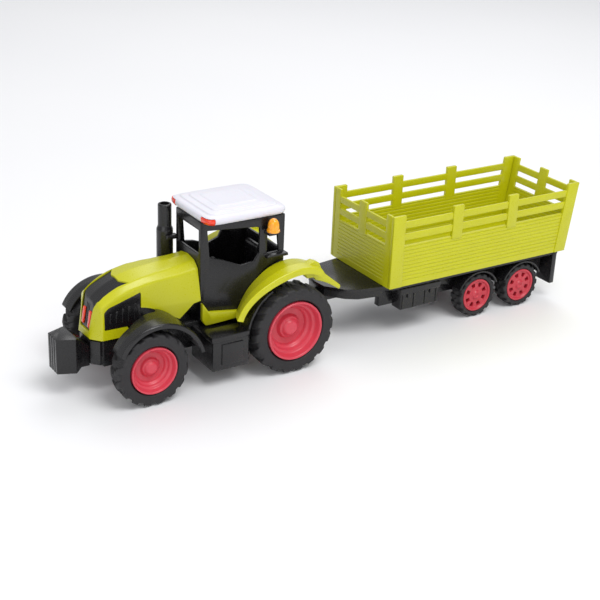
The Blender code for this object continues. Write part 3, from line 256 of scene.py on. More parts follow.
def rounded(made: Piece, radius: float, angle: float = 30.0, segments: int = 3) -> Piece:
    """Round every edge sharper than an angle, and keep the result as the object's mesh.

    Args:
        made: The piece.
        radius: The rounding of its edges.
        angle: Edges flatter than this many degrees are left alone.
        segments: How many facets the rounding has.

    Returns:
        The same object.
    """
    bevel = made.modifiers.new("edge", "BEVEL")
    bevel.width = radius
    bevel.segments = segments
    bevel.limit_method = "ANGLE"
    bevel.angle_limit = math.radians(angle)
    bevel.miter_outer = "MITER_ARC"
    return settle(made)


def settle(made: Piece) -> Piece:
    """Apply an object's modifiers to its mesh.

    Args:
        made: The piece.

    Returns:
        The same object, without modifiers.
    """
    graph = bpy.context.evaluated_depsgraph_get()
    graph.update()
    mesh = bpy.data.meshes.new_from_object(made.evaluated_get(graph))
    made.modifiers.clear()
    made.data = mesh
    return made


def combine(made: Piece, others: list[Piece], operation: str) -> Piece:
    """Join other bodies to a piece, cut them from it, or keep what they share.

    Args:
        made: The piece.
        others: The other bodies, which are used up.
        operation: "UNION", "DIFFERENCE" or "INTERSECT".

    Returns:
        The same object.
    """
    for other in others:
        change = made.modifiers.new("shape", "BOOLEAN")
        change.operation = operation
        change.object = other
        change.solver = "EXACT"
    settle(made)
    for other in others:
        bpy.data.objects.remove(other)
    return made


def mirrored(made: Piece, name: str) -> Piece:
    """A copy of a piece on the other side of the toy's middle plane.

    Args:
        made: The piece.
        name: The copy's name.

    Returns:
        The copy, linked to the scene.
    """
    mesh = made.data.copy()
    mesh.transform(Matrix.Diagonal((-1.0, 1.0, 1.0, 1.0)))
    mesh.flip_normals()
    other = bpy.data.objects.new(name, mesh)
    bpy.context.scene.collection.objects.link(other)
    return other


def moulding(node: str, radius: float, segments: int = 2) -> Piece:
    """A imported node's own shape with its flat faces made whole and its edges rounded.

    Args:
        node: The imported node.
        radius: The rounding of its edges.
        segments: How many facets the rounding has.

    Returns:
        The new object, named for the node.
    """
    mesh = frame["nodes"][node].data.copy()
    made = bpy.data.objects.new(node + "_moulding", mesh)
    bpy.context.scene.collection.objects.link(made)
    shape = bmesh.new()
    shape.from_mesh(mesh)
    bmesh.ops.remove_doubles(shape, verts=shape.verts, dist=0.002 * MM)
    bmesh.ops.dissolve_limit(
        shape, angle_limit=math.radians(1.0), verts=shape.verts, edges=shape.edges
    )
    shape.to_mesh(mesh)
    shape.free()
    return rounded(made, radius, 28.0, segments)


# ------------------------------------------------------------------ finishes

def linear(code: str) -> tuple[float, float, float, float]:
    """An sRGB hex colour such as "c8d400", as linear red, green, blue and alpha.

    Args:
        code: Six hex digits.

    Returns:
        The colour that a shader works with.
    """
    parts = [int(code[i:i + 2], 16) / 255.0 for i in (0, 2, 4)]
    red, green, blue = (
        part / 12.92 if part <= 0.04045 else ((part + 0.055) / 1.055) ** 2.4 for part in parts
    )
    return red, green, blue, 1.0


def add_node(tree: bpy.types.NodeTree, kind: str, settings: dict, inputs: dict) -> bpy.types.Node:
    """Add one node to a material, with its settings, values and links.

    Args:
        tree: The material's node tree.
        kind: The node's type name.
        settings: Attributes to set on the node.
        inputs: For each input, by name or number, a value or the socket that feeds it.

    Returns:
        The node.
    """
    node = tree.nodes.new(kind)
    for name, value in settings.items():
        setattr(node, name, value)
    for key, value in inputs.items():
        if isinstance(value, bpy.types.NodeSocket):
            tree.links.new(value, node.inputs[key])
        else:
            node.inputs[key].default_value = value
    return node


def per_metre(size_mm: float) -> float:
    """The scale of a pattern whose cells are a number of millimetres wide."""
    return 1000.0 / size_mm


def mottle(tree: bpy.types.NodeTree, place: bpy.types.NodeSocket, size_mm: float,
           detail: float = 2.0) -> bpy.types.NodeSocket:
    """A cloudy pattern of that cell size over the object's own coordinates.

    Args:
        tree: The material's node tree.
        place: The socket that gives the coordinates.
        size_mm: How wide a cell is, in millimetres.
        detail: How many finer layers it has.

    Returns:
        The pattern's value, from 0 to 1.
    """
    settings = {"noise_dimensions": "3D"}
    inputs = {"Vector": place, "Scale": per_metre(size_mm), "Detail": detail}
    return add_node(tree, "ShaderNodeTexNoise", settings, inputs).outputs[0]


@dataclass(frozen=True)
class Finish:
    """What a moulded or drawn surface looks like.

    The colour drifts slowly between two shades, as pigment does in a moulding. The roughness
    drifts with it, and a fine grain from the mould or the die lifts the surface a little.
    """

    slot: str
    name: str
    colour: str
    shade: str
    roughness: float
    drift_mm: float = 18.0
    grain_mm: float = 0.8
    grain_lift: float = 0.02
    metallic: float = 0.0
    coat: float = 0.0
    glow_through: float = 0.0
    ior: float = 1.5

    def material(self) -> bpy.types.Material:
        """The finish as a node material; it is made once and then shared.

        Returns:
            The material.
        """
        known = bpy.data.materials.get(self.name)
        if known:
            return known
        made = bpy.data.materials.new(self.name)
        made.use_nodes = True
        tree = made.node_tree
        tree.nodes.clear()
        place = add_node(tree, "ShaderNodeTexCoord", {}, {}).outputs["Object"]
        drift = mottle(tree, place, self.drift_mm)
        grain = mottle(tree, place, self.grain_mm, 3.0)
        colour = add_node(
            tree, "ShaderNodeMix", {"data_type": "RGBA"},
            {0: drift, 6: linear(self.colour), 7: linear(self.shade)},
        ).outputs[2]
        rough = add_node(
            tree, "ShaderNodeMapRange", {},
            {0: grain, 1: 0.3, 2: 0.7, 3: self.roughness * 0.85, 4: self.roughness * 1.15},
        ).outputs[0]
        bump = add_node(
            tree, "ShaderNodeBump", {},
            {"Strength": 0.35, "Distance": self.grain_lift * MM, "Height": grain},
        ).outputs[0]
        shader = add_node(
            tree, "ShaderNodeBsdfPrincipled", {},
            {
                "Base Color": colour, "Roughness": rough, "Normal": bump, "Metallic": self.metallic,
                "Coat Weight": self.coat, "Coat Roughness": 0.08, "IOR": self.ior,
                "Subsurface Weight": self.glow_through, "Subsurface Scale": 1.5 * MM,
            },
        )
        add_node(tree, "ShaderNodeOutputMaterial", {}, {"Surface": shader.outputs[0]})
        return made


# Injection-moulded ABS in bright lime: an even pigment, a satin skin and soft wide highlights.
LIME_ABS = Finish("lime_plastic", "lime_moulded_abs", "c3c310", "bab90b", 0.30)
# Polished black ABS: nearly no colour of its own, so it shows as crisp highlights on edges.
BLACK_ABS = Finish("black_plastic", "black_moulded_abs", "101011", "161517", 0.26, grain_mm=0.6)
# White ABS for the roof: slightly cool, a little light bleeds through its edges.
WHITE_ABS = Finish("white_plastic", "white_moulded_abs", "dfdee6", "d8d7e0", 0.32, glow_through=0.05)
# Coral-red polypropylene: waxy, so light sinks in a little and shadows stay warm.
CORAL_PP = Finish("coral_plastic", "coral_moulded_polypropylene", "cf4252", "c63a4a", 0.36,
                  glow_through=0.06)
# The trailer wheels' deeper red polypropylene.
RED_PP = Finish("red_plastic", "red_moulded_polypropylene", "c43645", "b92e3d", 0.34, glow_through=0.05)
# Soft moulded PVC tyres: matt and slightly grey, with the flow marks of the mould.
SOFT_PVC = Finish("soft_tyre", "black_moulded_soft_pvc", "232224", "1b1a1c", 0.62, drift_mm=7.0,
                  grain_mm=0.5, grain_lift=0.05)
# Clear-red polystyrene lamps: glossy, lit from within by their own colour.
RED_LENS = Finish("red_lens", "orange_red_lamp_polystyrene", "ee3d12", "e22f0c", 0.12, coat=0.6,
                  glow_through=0.15)
# The amber beacon's dome, in the same glossy polystyrene.
AMBER_LENS = Finish("amber_lens", "amber_lamp_polystyrene", "fdac10", "f79c08", 0.14, coat=0.6,
                    glow_through=0.2)
# Natural nylon gears and motor case: milky, with light going some way in.
NYLON = Finish("nylon", "natural_moulded_nylon", "dcd8ca", "d2cdbd", 0.42, glow_through=0.15)
# Drawn and zinc-plated steel rod: bright, with a fine grain from the die.
PLATED_STEEL = Finish("steel", "drawn_plated_steel", "c9cbcf", "b5b8be", 0.3, grain_mm=0.3,
                      metallic=1.0)


def dress(made: Piece, name: str, finish: Finish, body: str, *nodes: str, crease: float = 34.0) -> Piece:
    """Name a finished piece, give it its finish, and hand it to the frame.

    Args:
        made: The piece, in place.
        name: Its final name.
        finish: Its finish.
        body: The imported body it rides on.
        nodes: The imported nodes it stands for.
        crease: Edges sharper than this many degrees stay crisp.

    Returns:
        The piece.
    """
    made.name = name
    made.data.name = name
    made.data.materials.clear()
    made.data.materials.append(finish.material())
    made.data.shade_smooth()
    made.data.set_sharp_from_angle(angle=math.radians(crease))
    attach(made, body)
    if nodes:
        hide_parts(*nodes)
    log.info("%s: %d faces, %s", name, len(made.data.polygons), finish.name)
    return made


def joint_place(name: str) -> Vector:
    """Where a joint's axis stands in the row frame."""
    return next(Vector(joint["pos_m"]) for joint in frame["joints"] if joint["name"] == name)


# ------------------------------------------------------------------ wheels

class Tread(Enum):
    """How a tyre's lugs lie."""

    CHEVRON = "chevron"
    BLOCK = "block"


class Disc(Enum):
    """How a wheel's centre is formed."""

    DISHED = "dished"
    SLOTTED = "slotted"


@dataclass
class Wheels:
    """An axle with its two wheels, turned about their joint's axis."""

    prefix: str
    body: str
    joint: str
    lugs: int
    tread: Tread
    disc: Disc
    rim_finish: Finish
    lug_depth: float = 1.5 * MM

    def build(self) -> None:
        """Make and dress the tyres, the wheel centres and the axle."""
        self.centre = joint_place(self.joint)
        for side, way in (("left", 1.0), ("right", -1.0)):
            name = f"{self.prefix}_tyre_{side}"
            low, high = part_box(name)
            self.half = (high.x - low.x) / 2
            self.middle = Vector(((high.x + low.x) / 2, self.centre.y, self.centre.z))
            dress(self.tyre(way), name + "_moulded", SOFT_PVC, self.body, name, crease=40.0)
            rim = f"{self.prefix}_rim_{side}"
            dress(self.centre_disc(way), rim + "_moulded", self.rim_finish, self.body, rim)
        axle = f"{self.prefix}_axle"
        dress(self.axle(), axle + "_rod", PLATED_STEEL, self.body, axle)

    def lug_mask(self, turn: Array, across: Array) -> Array:
        """How far each point of the tread stands up as a lug, from 0 to 1.

        A lug is the part of each pitch nearest its middle. Chevrons lag further behind the
        nearer a point is to the shoulder, and the two sides are half a pitch apart. One lug's
        middle is at the bottom of the wheel.

        Args:
            turn: The angle round the wheel.
            across: The place across the tread, from -1 to 1.

        Returns:
            The mask, in the shape that both make together.
        """
        phase = turn * self.lugs / FULL_TURN
        reach = np.abs(across)
        if self.tread is Tread.CHEVRON:
            phase = phase + 0.55 * (reach - 0.75) + 0.5 * (across > 0.0)
        else:
            phase = phase + 0.5 * (np.abs(across) < 0.28)
        off = np.abs((phase + 0.5) % 1.0 - 0.5)
        width = 0.25 + 0.03 * reach
        return ease((width - off) / 0.05 + 0.5)

    def tyre(self, way: float) -> Piece:
        """A tyre: a rounded-rectangle section carried round the axis, raised into lugs.

        The section is a superellipse between the bead and the tread's root. At each angle its
        radius grows by the lug height where the tread or the shoulder lies.

        Args:
            way: 1 for the left-hand wheel and -1 for the right-hand one.

        Returns:
            The closed object.
        """
        radius = self.middle.z
        bore = self.rim_radius() + 0.3 * MM
        root = radius - self.lug_depth
        steps = self.lugs * 22
        turn = np.linspace(0.0, FULL_TURN, steps, endpoint=False)[:, None]
        ring = np.linspace(0.0, FULL_TURN, 84, endpoint=False)
        section = superellipse(ring, self.half - 0.15 * MM, (root - bore) / 2, 0.42)
        across = section[None, :, 0] + 0.0 * turn
        height = section[None, :, 1] + (root + bore) / 2
        share = across / self.half
        shoulder = ease((height - (bore + 0.62 * (root - bore))) / (0.28 * (root - bore)))
        groove = np.exp(-((height - bore - 0.3 * (root - bore)) / (0.6 * MM)) ** 2) * 0.25 * MM
        lug = self.lug_mask(turn, share) * shoulder
        crown = 1.0 - 0.25 * np.abs(share) ** 3
        reach = height + lug * self.lug_depth * crown
        side_lift = lug * 0.5 * self.lug_depth * np.abs(share) ** 6
        across = across + np.sign(across) * (np.minimum(side_lift, 0.15 * MM) - groove)
        angle = turn - math.pi / 2
        grid = np.stack([
            self.middle.x + across * way,
            self.middle.y + reach * np.cos(angle),
            self.middle.z + reach * np.sin(angle),
        ], axis=-1)
        return surface("tyre", grid, closed_rows=True, closed_columns=True)

    def rim_radius(self) -> float:
        """The wheel centre's outer radius."""
        low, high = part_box(f"{self.prefix}_rim_left")
        return (high.y - low.y) / 2

    def centre_disc(self, way: float) -> Piece:
        """The wheel centre: a profile with rounded corners turned about the axle.

        Places along the axle are measured from the outer face, inwards.

        Args:
            way: 1 for the left-hand wheel and -1 for the right-hand one.

        Returns:
            The closed object.
        """
        low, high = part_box(f"{self.prefix}_rim_left")
        radius, width = self.rim_radius(), high.x - low.x
        wall = 1.6 * MM
        if self.disc is Disc.DISHED:
            dish = 0.56 * width
            corners = [
                (0.0, -0.50 * dish), (0.20, -0.50 * dish), (0.27, -0.62 * dish), (0.30, -0.72 * dish),
                (0.36, -0.76 * dish), (0.42, -dish), (0.62, -dish), (0.66, -0.82 * dish),
                (0.73, -0.72 * dish), (0.78, -0.50 * dish), (0.86, -0.42 * dish), (0.925, -0.04 * dish),
                (0.95, 0.0), (1.0, 0.0), (1.0, -width), (0.90, -width), (0.86, -dish - 2 * wall),
                (0.30, -dish - 2 * wall), (0.30, -width), (0.0, -width),
            ]
        else:
            corners = [
                (0.0, -0.7 * MM), (0.10, -0.7 * MM), (0.12, 0.0), (0.22, 0.0), (0.27, -1.0 * MM),
                (0.34, -1.3 * MM), (0.84, -1.3 * MM), (0.89, 0.0), (1.0, 0.0), (1.0, -width),
                (0.90, -width), (0.86, -7.0 * MM), (0.30, -7.0 * MM), (0.30, -width), (0.0, -width),
            ]
        outline = np.array([(share * radius, along) for share, along in corners])
        profile = rounded_ring(outline, 0.45 * MM, 160)
        profile[:, 0] = np.maximum(profile[:, 0], 0.0)
        middle = profile[:, 0] < 0.04 * radius
        profile[middle, 0] = 0.0
        profile = np.stack([profile[:, 0], profile[:, 1] * way], axis=1)
        place = Vector((way * high.x, self.centre.y, self.centre.z))
        disc = turned("disc", profile, place, "X", 96)
        if self.disc is Disc.SLOTTED:
            disc = combine(disc, self.slots(radius, place, way), "DIFFERENCE")
        return disc

    def slots(self, radius: float, place: Vector, way: float) -> list[Piece]:
        """Eight deep windows in a disc, each a sector between two radii with its own cutter.

        Args:
            radius: The wheel centre's radius.
            place: The middle of its outer face.
            way: Which way is outwards along X.

        Returns:
            The cutters.
        """
        cutters = []
        for turn in np.arange(8) * FULL_TURN / 8 + FULL_TURN / 16:
            half = np.radians(11.0)
            fan = np.linspace(-half, half, 7)
            outer = np.stack([np.cos(turn + fan), np.sin(turn + fan)], axis=1) * 0.76 * radius
            inner = np.stack([np.cos(turn - fan), np.sin(turn - fan)], axis=1) * 0.50 * radius
            ring = rounded_ring(np.vstack([outer, inner]), 0.5 * MM, 36)
            ring += np.array([place.y, place.z])
            ends = sorted((place.x + way * MM, place.x - way * 5.8 * MM))
            cutters.append(prism("slot", ring, "X", *ends))
        return cutters

    def axle(self) -> Piece:
        """The steel rod: a round bar with chamfered ends.

        Returns:
            The closed object.
        """
        low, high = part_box(f"{self.prefix}_axle")
        radius, chamfer = (high.z - low.z) / 2, 0.4 * MM
        profile = np.array([
            (0.0, low.x), (radius - chamfer, low.x), (radius, low.x + chamfer),
            (radius, high.x - chamfer), (radius - chamfer, high.x), (0.0, high.x),
        ])
        return turned("axle", profile, Vector((0.0, self.centre.y, self.centre.z)), "X", 48)


# ------------------------------------------------------------------ hood

@dataclass
class Hood:
    """The lime hood with its black nose insert, side panels and lamps.

    The nose's front stands `bow` ahead of its corners, is `bow_half` wide to each side and
    leans back by `lean` for each unit of height.
    """

    body: str = "tractor"
    wall: float = 1.6 * MM
    bow: float = 4.5 * MM
    bow_half: float = 8.4 * MM
    slit: float = 6.6 * MM
    lean: float = 0.16
    insert_depth: float = 0.9 * MM

    def build(self) -> None:
        """Make and dress the hood's pieces."""
        self.low, self.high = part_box("hood")
        self.front = self.low.y + self.bow
        dress(self.shell(), "hood_shell", LIME_ABS, self.body, "hood", crease=50.0)
        dress(self.nose_insert(), "grille_insert", BLACK_ABS, self.body, "grille", crease=30.0)
        panel = self.side_panel()
        other = mirrored(panel, "side_panel")
        dress(panel, "hood_side_panel_left", BLACK_ABS, self.body, "hood_panel_left")
        dress(other, "hood_side_panel_right", BLACK_ABS, self.body, "hood_panel_right")
        for side in ("left", "right"):
            lamp = moulding(f"headlight_{side}", 0.5 * MM, 3)
            dress(lamp, f"headlight_lens_{side}", RED_LENS, self.body, f"headlight_{side}")

    def sections(self, share: Array) -> Array:
        """The right half of the hood's section at each share of its length, as (x, height).

        Half-widths and heights of the crown's middle and edge, the shoulder, the waist and the
        lower edge are drawn through four stations by a smooth cubic in the share.

        Args:
            share: Shares of the length, from the nose.

        Returns:
            The corners, of shape (shares, corners, 2).
        """
        stations = np.array([0.02, 0.28, 0.64, 1.0])
        middle = np.array([27.8, 37.2, 41.2, 43.0]) * MM
        edge_x = np.array([10.5, 13.0, 11.4, 9.0]) * MM
        edge_z = np.array([26.8, 35.6, 39.4, 41.6]) * MM
        shoulder_x = np.array([15.2, 16.2, 15.8, 14.0]) * MM
        shoulder_z = np.array([23.0, 31.6, 35.4, 37.2]) * MM
        waist_x = np.array([15.8, 16.6, 17.6, 18.4]) * MM
        waist_z = np.full(4, 17.0) * MM
        zero = np.zeros(4)
        corners = [(zero, middle), (edge_x, edge_z), (shoulder_x, shoulder_z), (waist_x, waist_z),
                   (waist_x, zero)]
        values = np.array([[x, z] for x, z in corners])
        fit = np.polynomial.polynomial.Polynomial.fit
        return np.array([
            [fit(stations, values[i, k], 3)(share) for k in range(2)] for i in range(len(corners))
        ]).transpose(2, 0, 1)

    def form(self, inset: float = 0.0, overrun: float = 0.0, rows: int = 70) -> Array:
        """The hood's outer surface as a grid.

        Each row is a section whose corners are rounded. From the nose's corners the surface
        runs in to a narrower, leaning front. Its two bends are quadratic curves between them.

        Args:
            inset: How far the surface is drawn in.
            overrun: How far it runs past the hood's lower and rear edges.
            rows: How many sections there are.

        Returns:
            The grid of points.
        """
        length = self.high.y - self.front
        share = np.linspace(0.02, 1.0, rows)
        half = self.sections(share)
        full = np.concatenate([half[:, :0:-1] * np.array([-1.0, 1.0]), half], axis=1)
        rings = np.array([self.open_profile(row, 0.6 * MM) for row in full])
        y = self.front + share * length + np.where(share == 1.0, overrun, 0.0)
        y[0] += 0.45 * inset
        body = self.place(self.shrunk(rings, inset, overrun), y)
        half = np.array([
            (0.0, 25.9 * MM), (0.7 * self.bow_half, 25.0 * MM), (0.96 * self.bow_half, 21.5 * MM),
            (self.bow_half, 17.0 * MM), (self.bow_half, 0.0),
        ])
        full = np.concatenate([half[:0:-1] * np.array([-1.0, 1.0]), half])
        ring = self.shrunk(self.open_profile(full, 0.6 * MM)[None], inset, overrun)
        bow = self.place(ring, np.zeros(1))[0]
        bow[:, 1] = self.low.y + self.lean * (bow[:, 2] - self.low.z) + inset
        height = 14.0 * MM
        middle = np.array([0.0, self.low.y + self.lean * height + inset, self.low.z + height])
        face = middle + 0.02 * (bow - middle)
        keep = body[:, 0, 1] > self.front + 4.0 * MM
        corner = self.bend(bow, body[0], body[keep][0], 1.4 * MM)
        edge = self.bend(face, bow, body[0], 1.1 * MM)
        return np.concatenate([edge, corner, body[keep]])

    def shrunk(self, rings: Array, inset: float, overrun: float) -> Array:
        """Sections drawn in towards their middle, with their lower ends carried down.

        Args:
            rings: The sections as (x, height).
            inset: How far they are drawn in.
            overrun: How far their lower ends are carried down.

        Returns:
            The new sections.
        """
        centre = np.array([0.0, 14.0 * MM])
        off = rings - centre
        size = np.linalg.norm(off, axis=2, keepdims=True)
        rings = centre + off * (1.0 - inset / size)
        rings[:, :, 1] -= np.where(rings[:, :, 1] < MM, overrun, 0.0)
        return rings

    def bend(self, before: Array, corner: Array, after: Array, radius: float) -> Array:
        """Rows that turn a corner: a quadratic curve at each of its points.

        Args:
            before: The row ahead of the corner.
            corner: The row of corner points.
            after: The row behind the corner.
            radius: How far from the corner the curve starts and ends.

        Returns:
            Seven rows of points.
        """
        ends = []
        for other in (before, after):
            way = other - corner
            length = np.linalg.norm(way, axis=1, keepdims=True)
            ends.append(corner + way * np.minimum(radius / np.maximum(length, 1e-9), 0.5))
        part = np.linspace(0.0, 1.0, 7)[:, None, None]
        return (1 - part) ** 2 * ends[0] + 2 * part * (1 - part) * corner + part ** 2 * ends[1]

    def place(self, rings: Array, y: Array) -> Array:
        """Sections as (x, height) at places along Y, as points in the row frame."""
        along = y[:, None] + 0.0 * rings[:, :, 0]
        return np.stack([rings[:, :, 0], along, rings[:, :, 1] + self.low.z], axis=-1)

    def open_profile(self, corners: Array, radius: float, count: int = 90) -> Array:
        """An open section with its corners rounded, its two ends kept where they are.

        Args:
            corners: The corners, from one end to the other.
            radius: The rounding radius.
            count: How many samples the section has.

        Returns:
            The samples, one row each.
        """
        back = corners[-2:0:-1] * np.array([1.0, -1.0])
        loop = np.concatenate([corners, back])
        ring = rounded_ring(loop, radius, count * 2)
        return ring[:count]

    def shell(self) -> Piece:
        """The hood: the form with a wall inside it, opened for the insert, panels and wheels.

        Returns:
            The closed object.
        """
        made = surface("hood_form", self.form(), closed_columns=True)
        inner = surface("hood_core", self.form(self.wall, 3.0 * MM), closed_columns=True)
        cutters = [inner, self.nose_cutter(0.0), self.arch_cutter(), self.panel_cutter(0.0)]
        return combine(made, cutters, "DIFFERENCE")

    def nose_cutter(self, inset: float) -> Piece:
        """The opening in the nose: a slit in front, and behind it a point at each ridge.

        Args:
            inset: How far the outline is drawn in.

        Returns:
            The closed cutter.
        """
        rear = self.front + 18.0 * MM
        slit, side, tip = self.slit - inset, 11.2 * MM - inset, 12.6 * MM - inset
        right = [(slit, self.front - 12 * MM), (slit, self.front - 3 * MM), (side, self.front + 2 * MM),
                 (side, rear - 3 * MM), (tip, rear + 4 * MM - inset), (0.5 * side, rear - inset)]
        plan = np.array(right + [(-x, y) for x, y in right[::-1]])
        return prism("nose", plan, "Z", self.low.z + 5.0 * MM + inset, self.high.z + 0.01)

    def panel_ring(self, inset: float) -> Array:
        """The side panel's outline as (y, z), its corners rounded.

        Args:
            inset: How far the outline is drawn in.

        Returns:
            The outline, one row for each point.
        """
        front, rear = self.front + 3.2 * MM + inset, self.front + 28.5 * MM - inset
        low, base = self.low.z + 7.5 * MM + inset, self.low.z
        corners = np.array([
            (front, low), (front, base + 20.0 * MM - inset), (front + 3.0 * MM, base + 22.8 * MM - inset),
            (rear, base + 30.0 * MM - inset), (rear, low + 4 * MM), (rear - 5 * MM, low),
        ])
        return rounded_ring(corners, 1.4 * MM, 90)

    def panel_cutter(self, inset: float) -> Piece:
        """The side panels' outline carried right across the hood."""
        return prism("panel", self.panel_ring(inset), "X", -0.03, 0.03)

    def arch_cutter(self) -> Piece:
        """What the lower edge leaves free: the wheel's arch, and the notch behind its tab.

        Returns:
            The closed cutter.
        """
        wheel = joint_place("front_wheel_spin")
        low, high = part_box("front_tyre_left")
        radius = (high.y - low.y) / 2 + 7.0 * MM
        angle = np.radians(np.linspace(50.0, 98.0, 16))
        arch = np.stack([wheel.y + radius * np.cos(angle), wheel.z + radius * np.sin(angle)], axis=1)
        base, rear = self.low.z, self.high.y
        lead = np.array([(rear + 5 * MM, base - 0.01), (rear + 5 * MM, base + 17 * MM),
                         (rear - 5 * MM, base + 15 * MM), (wheel.y + 32 * MM, base + 6 * MM)])
        tail = np.array([(wheel.y - 4.5 * MM, base + 7 * MM), (wheel.y - 2 * MM, base + 4.5 * MM),
                         (wheel.y - 12 * MM, base), (wheel.y - 12 * MM, base - 0.01)])
        return prism("arch", np.concatenate([lead, arch, tail]), "X", -0.03, 0.03)

    def nose_insert(self) -> Piece:
        """The black insert: the hood's form set back, inside the opening, with upright bars.

        Returns:
            The closed object.
        """
        made = surface("insert", self.form(self.insert_depth), closed_columns=True)
        made = combine(made, [self.nose_cutter(0.3 * MM)], "INTERSECT")
        core = self.form(self.insert_depth + 3.0 * MM, 3.0 * MM)
        cutters = [surface("insert_core", core, closed_columns=True)]
        heights = np.array([7.0, 22.0, 22.0, 7.0]) * MM
        depths = self.insert_depth + np.array([-1.0, -1.0, 1.2, 1.2]) * MM
        ring = np.stack([self.low.y + self.lean * heights + depths, self.low.z + heights], axis=1)
        for x in np.array([-1.8, 0.0, 1.8]) * MM:
            cutters.append(prism("slot", ring, "X", x - 0.4 * MM, x + 0.4 * MM))
        return combine(made, cutters, "DIFFERENCE")

    def side_panel(self) -> Piece:
        """A side panel: its outline carried through the wall, with four louvre ribs on it.

        Returns:
            The left-hand panel.
        """
        low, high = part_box("hood_panel_left")
        made = rounded(prism("panel", self.panel_ring(0.3 * MM), "X", low.x, high.x), 0.35 * MM)
        ribs = []
        for k in range(5):
            y = self.front + (7.0 + 4.2 * k) * MM
            top = self.low.z + (18.5 + 1.1 * k) * MM
            ribs.append(soft_box("rib", (high.x - 1 * MM, y, self.low.z + 11.5 * MM),
                                 (high.x + 0.35 * MM, y + 1.6 * MM, top), 0.3 * MM))
        made = combine(made, ribs, "UNION")
        points = np.empty(len(made.data.vertices) * 3, np.float32)
        made.data.vertices.foreach_get("co", points)
        points = points.reshape(-1, 3)
        share = (points[:, 1] - self.front) / (self.high.y - self.front)
        points[:, 0] += self.sections(share)[:, 3, 0] - self.sections(np.full(1, 0.02))[0, 3, 0]
        made.data.vertices.foreach_set("co", points.ravel())
        return made


# ------------------------------------------------------------------ cab and its fittings

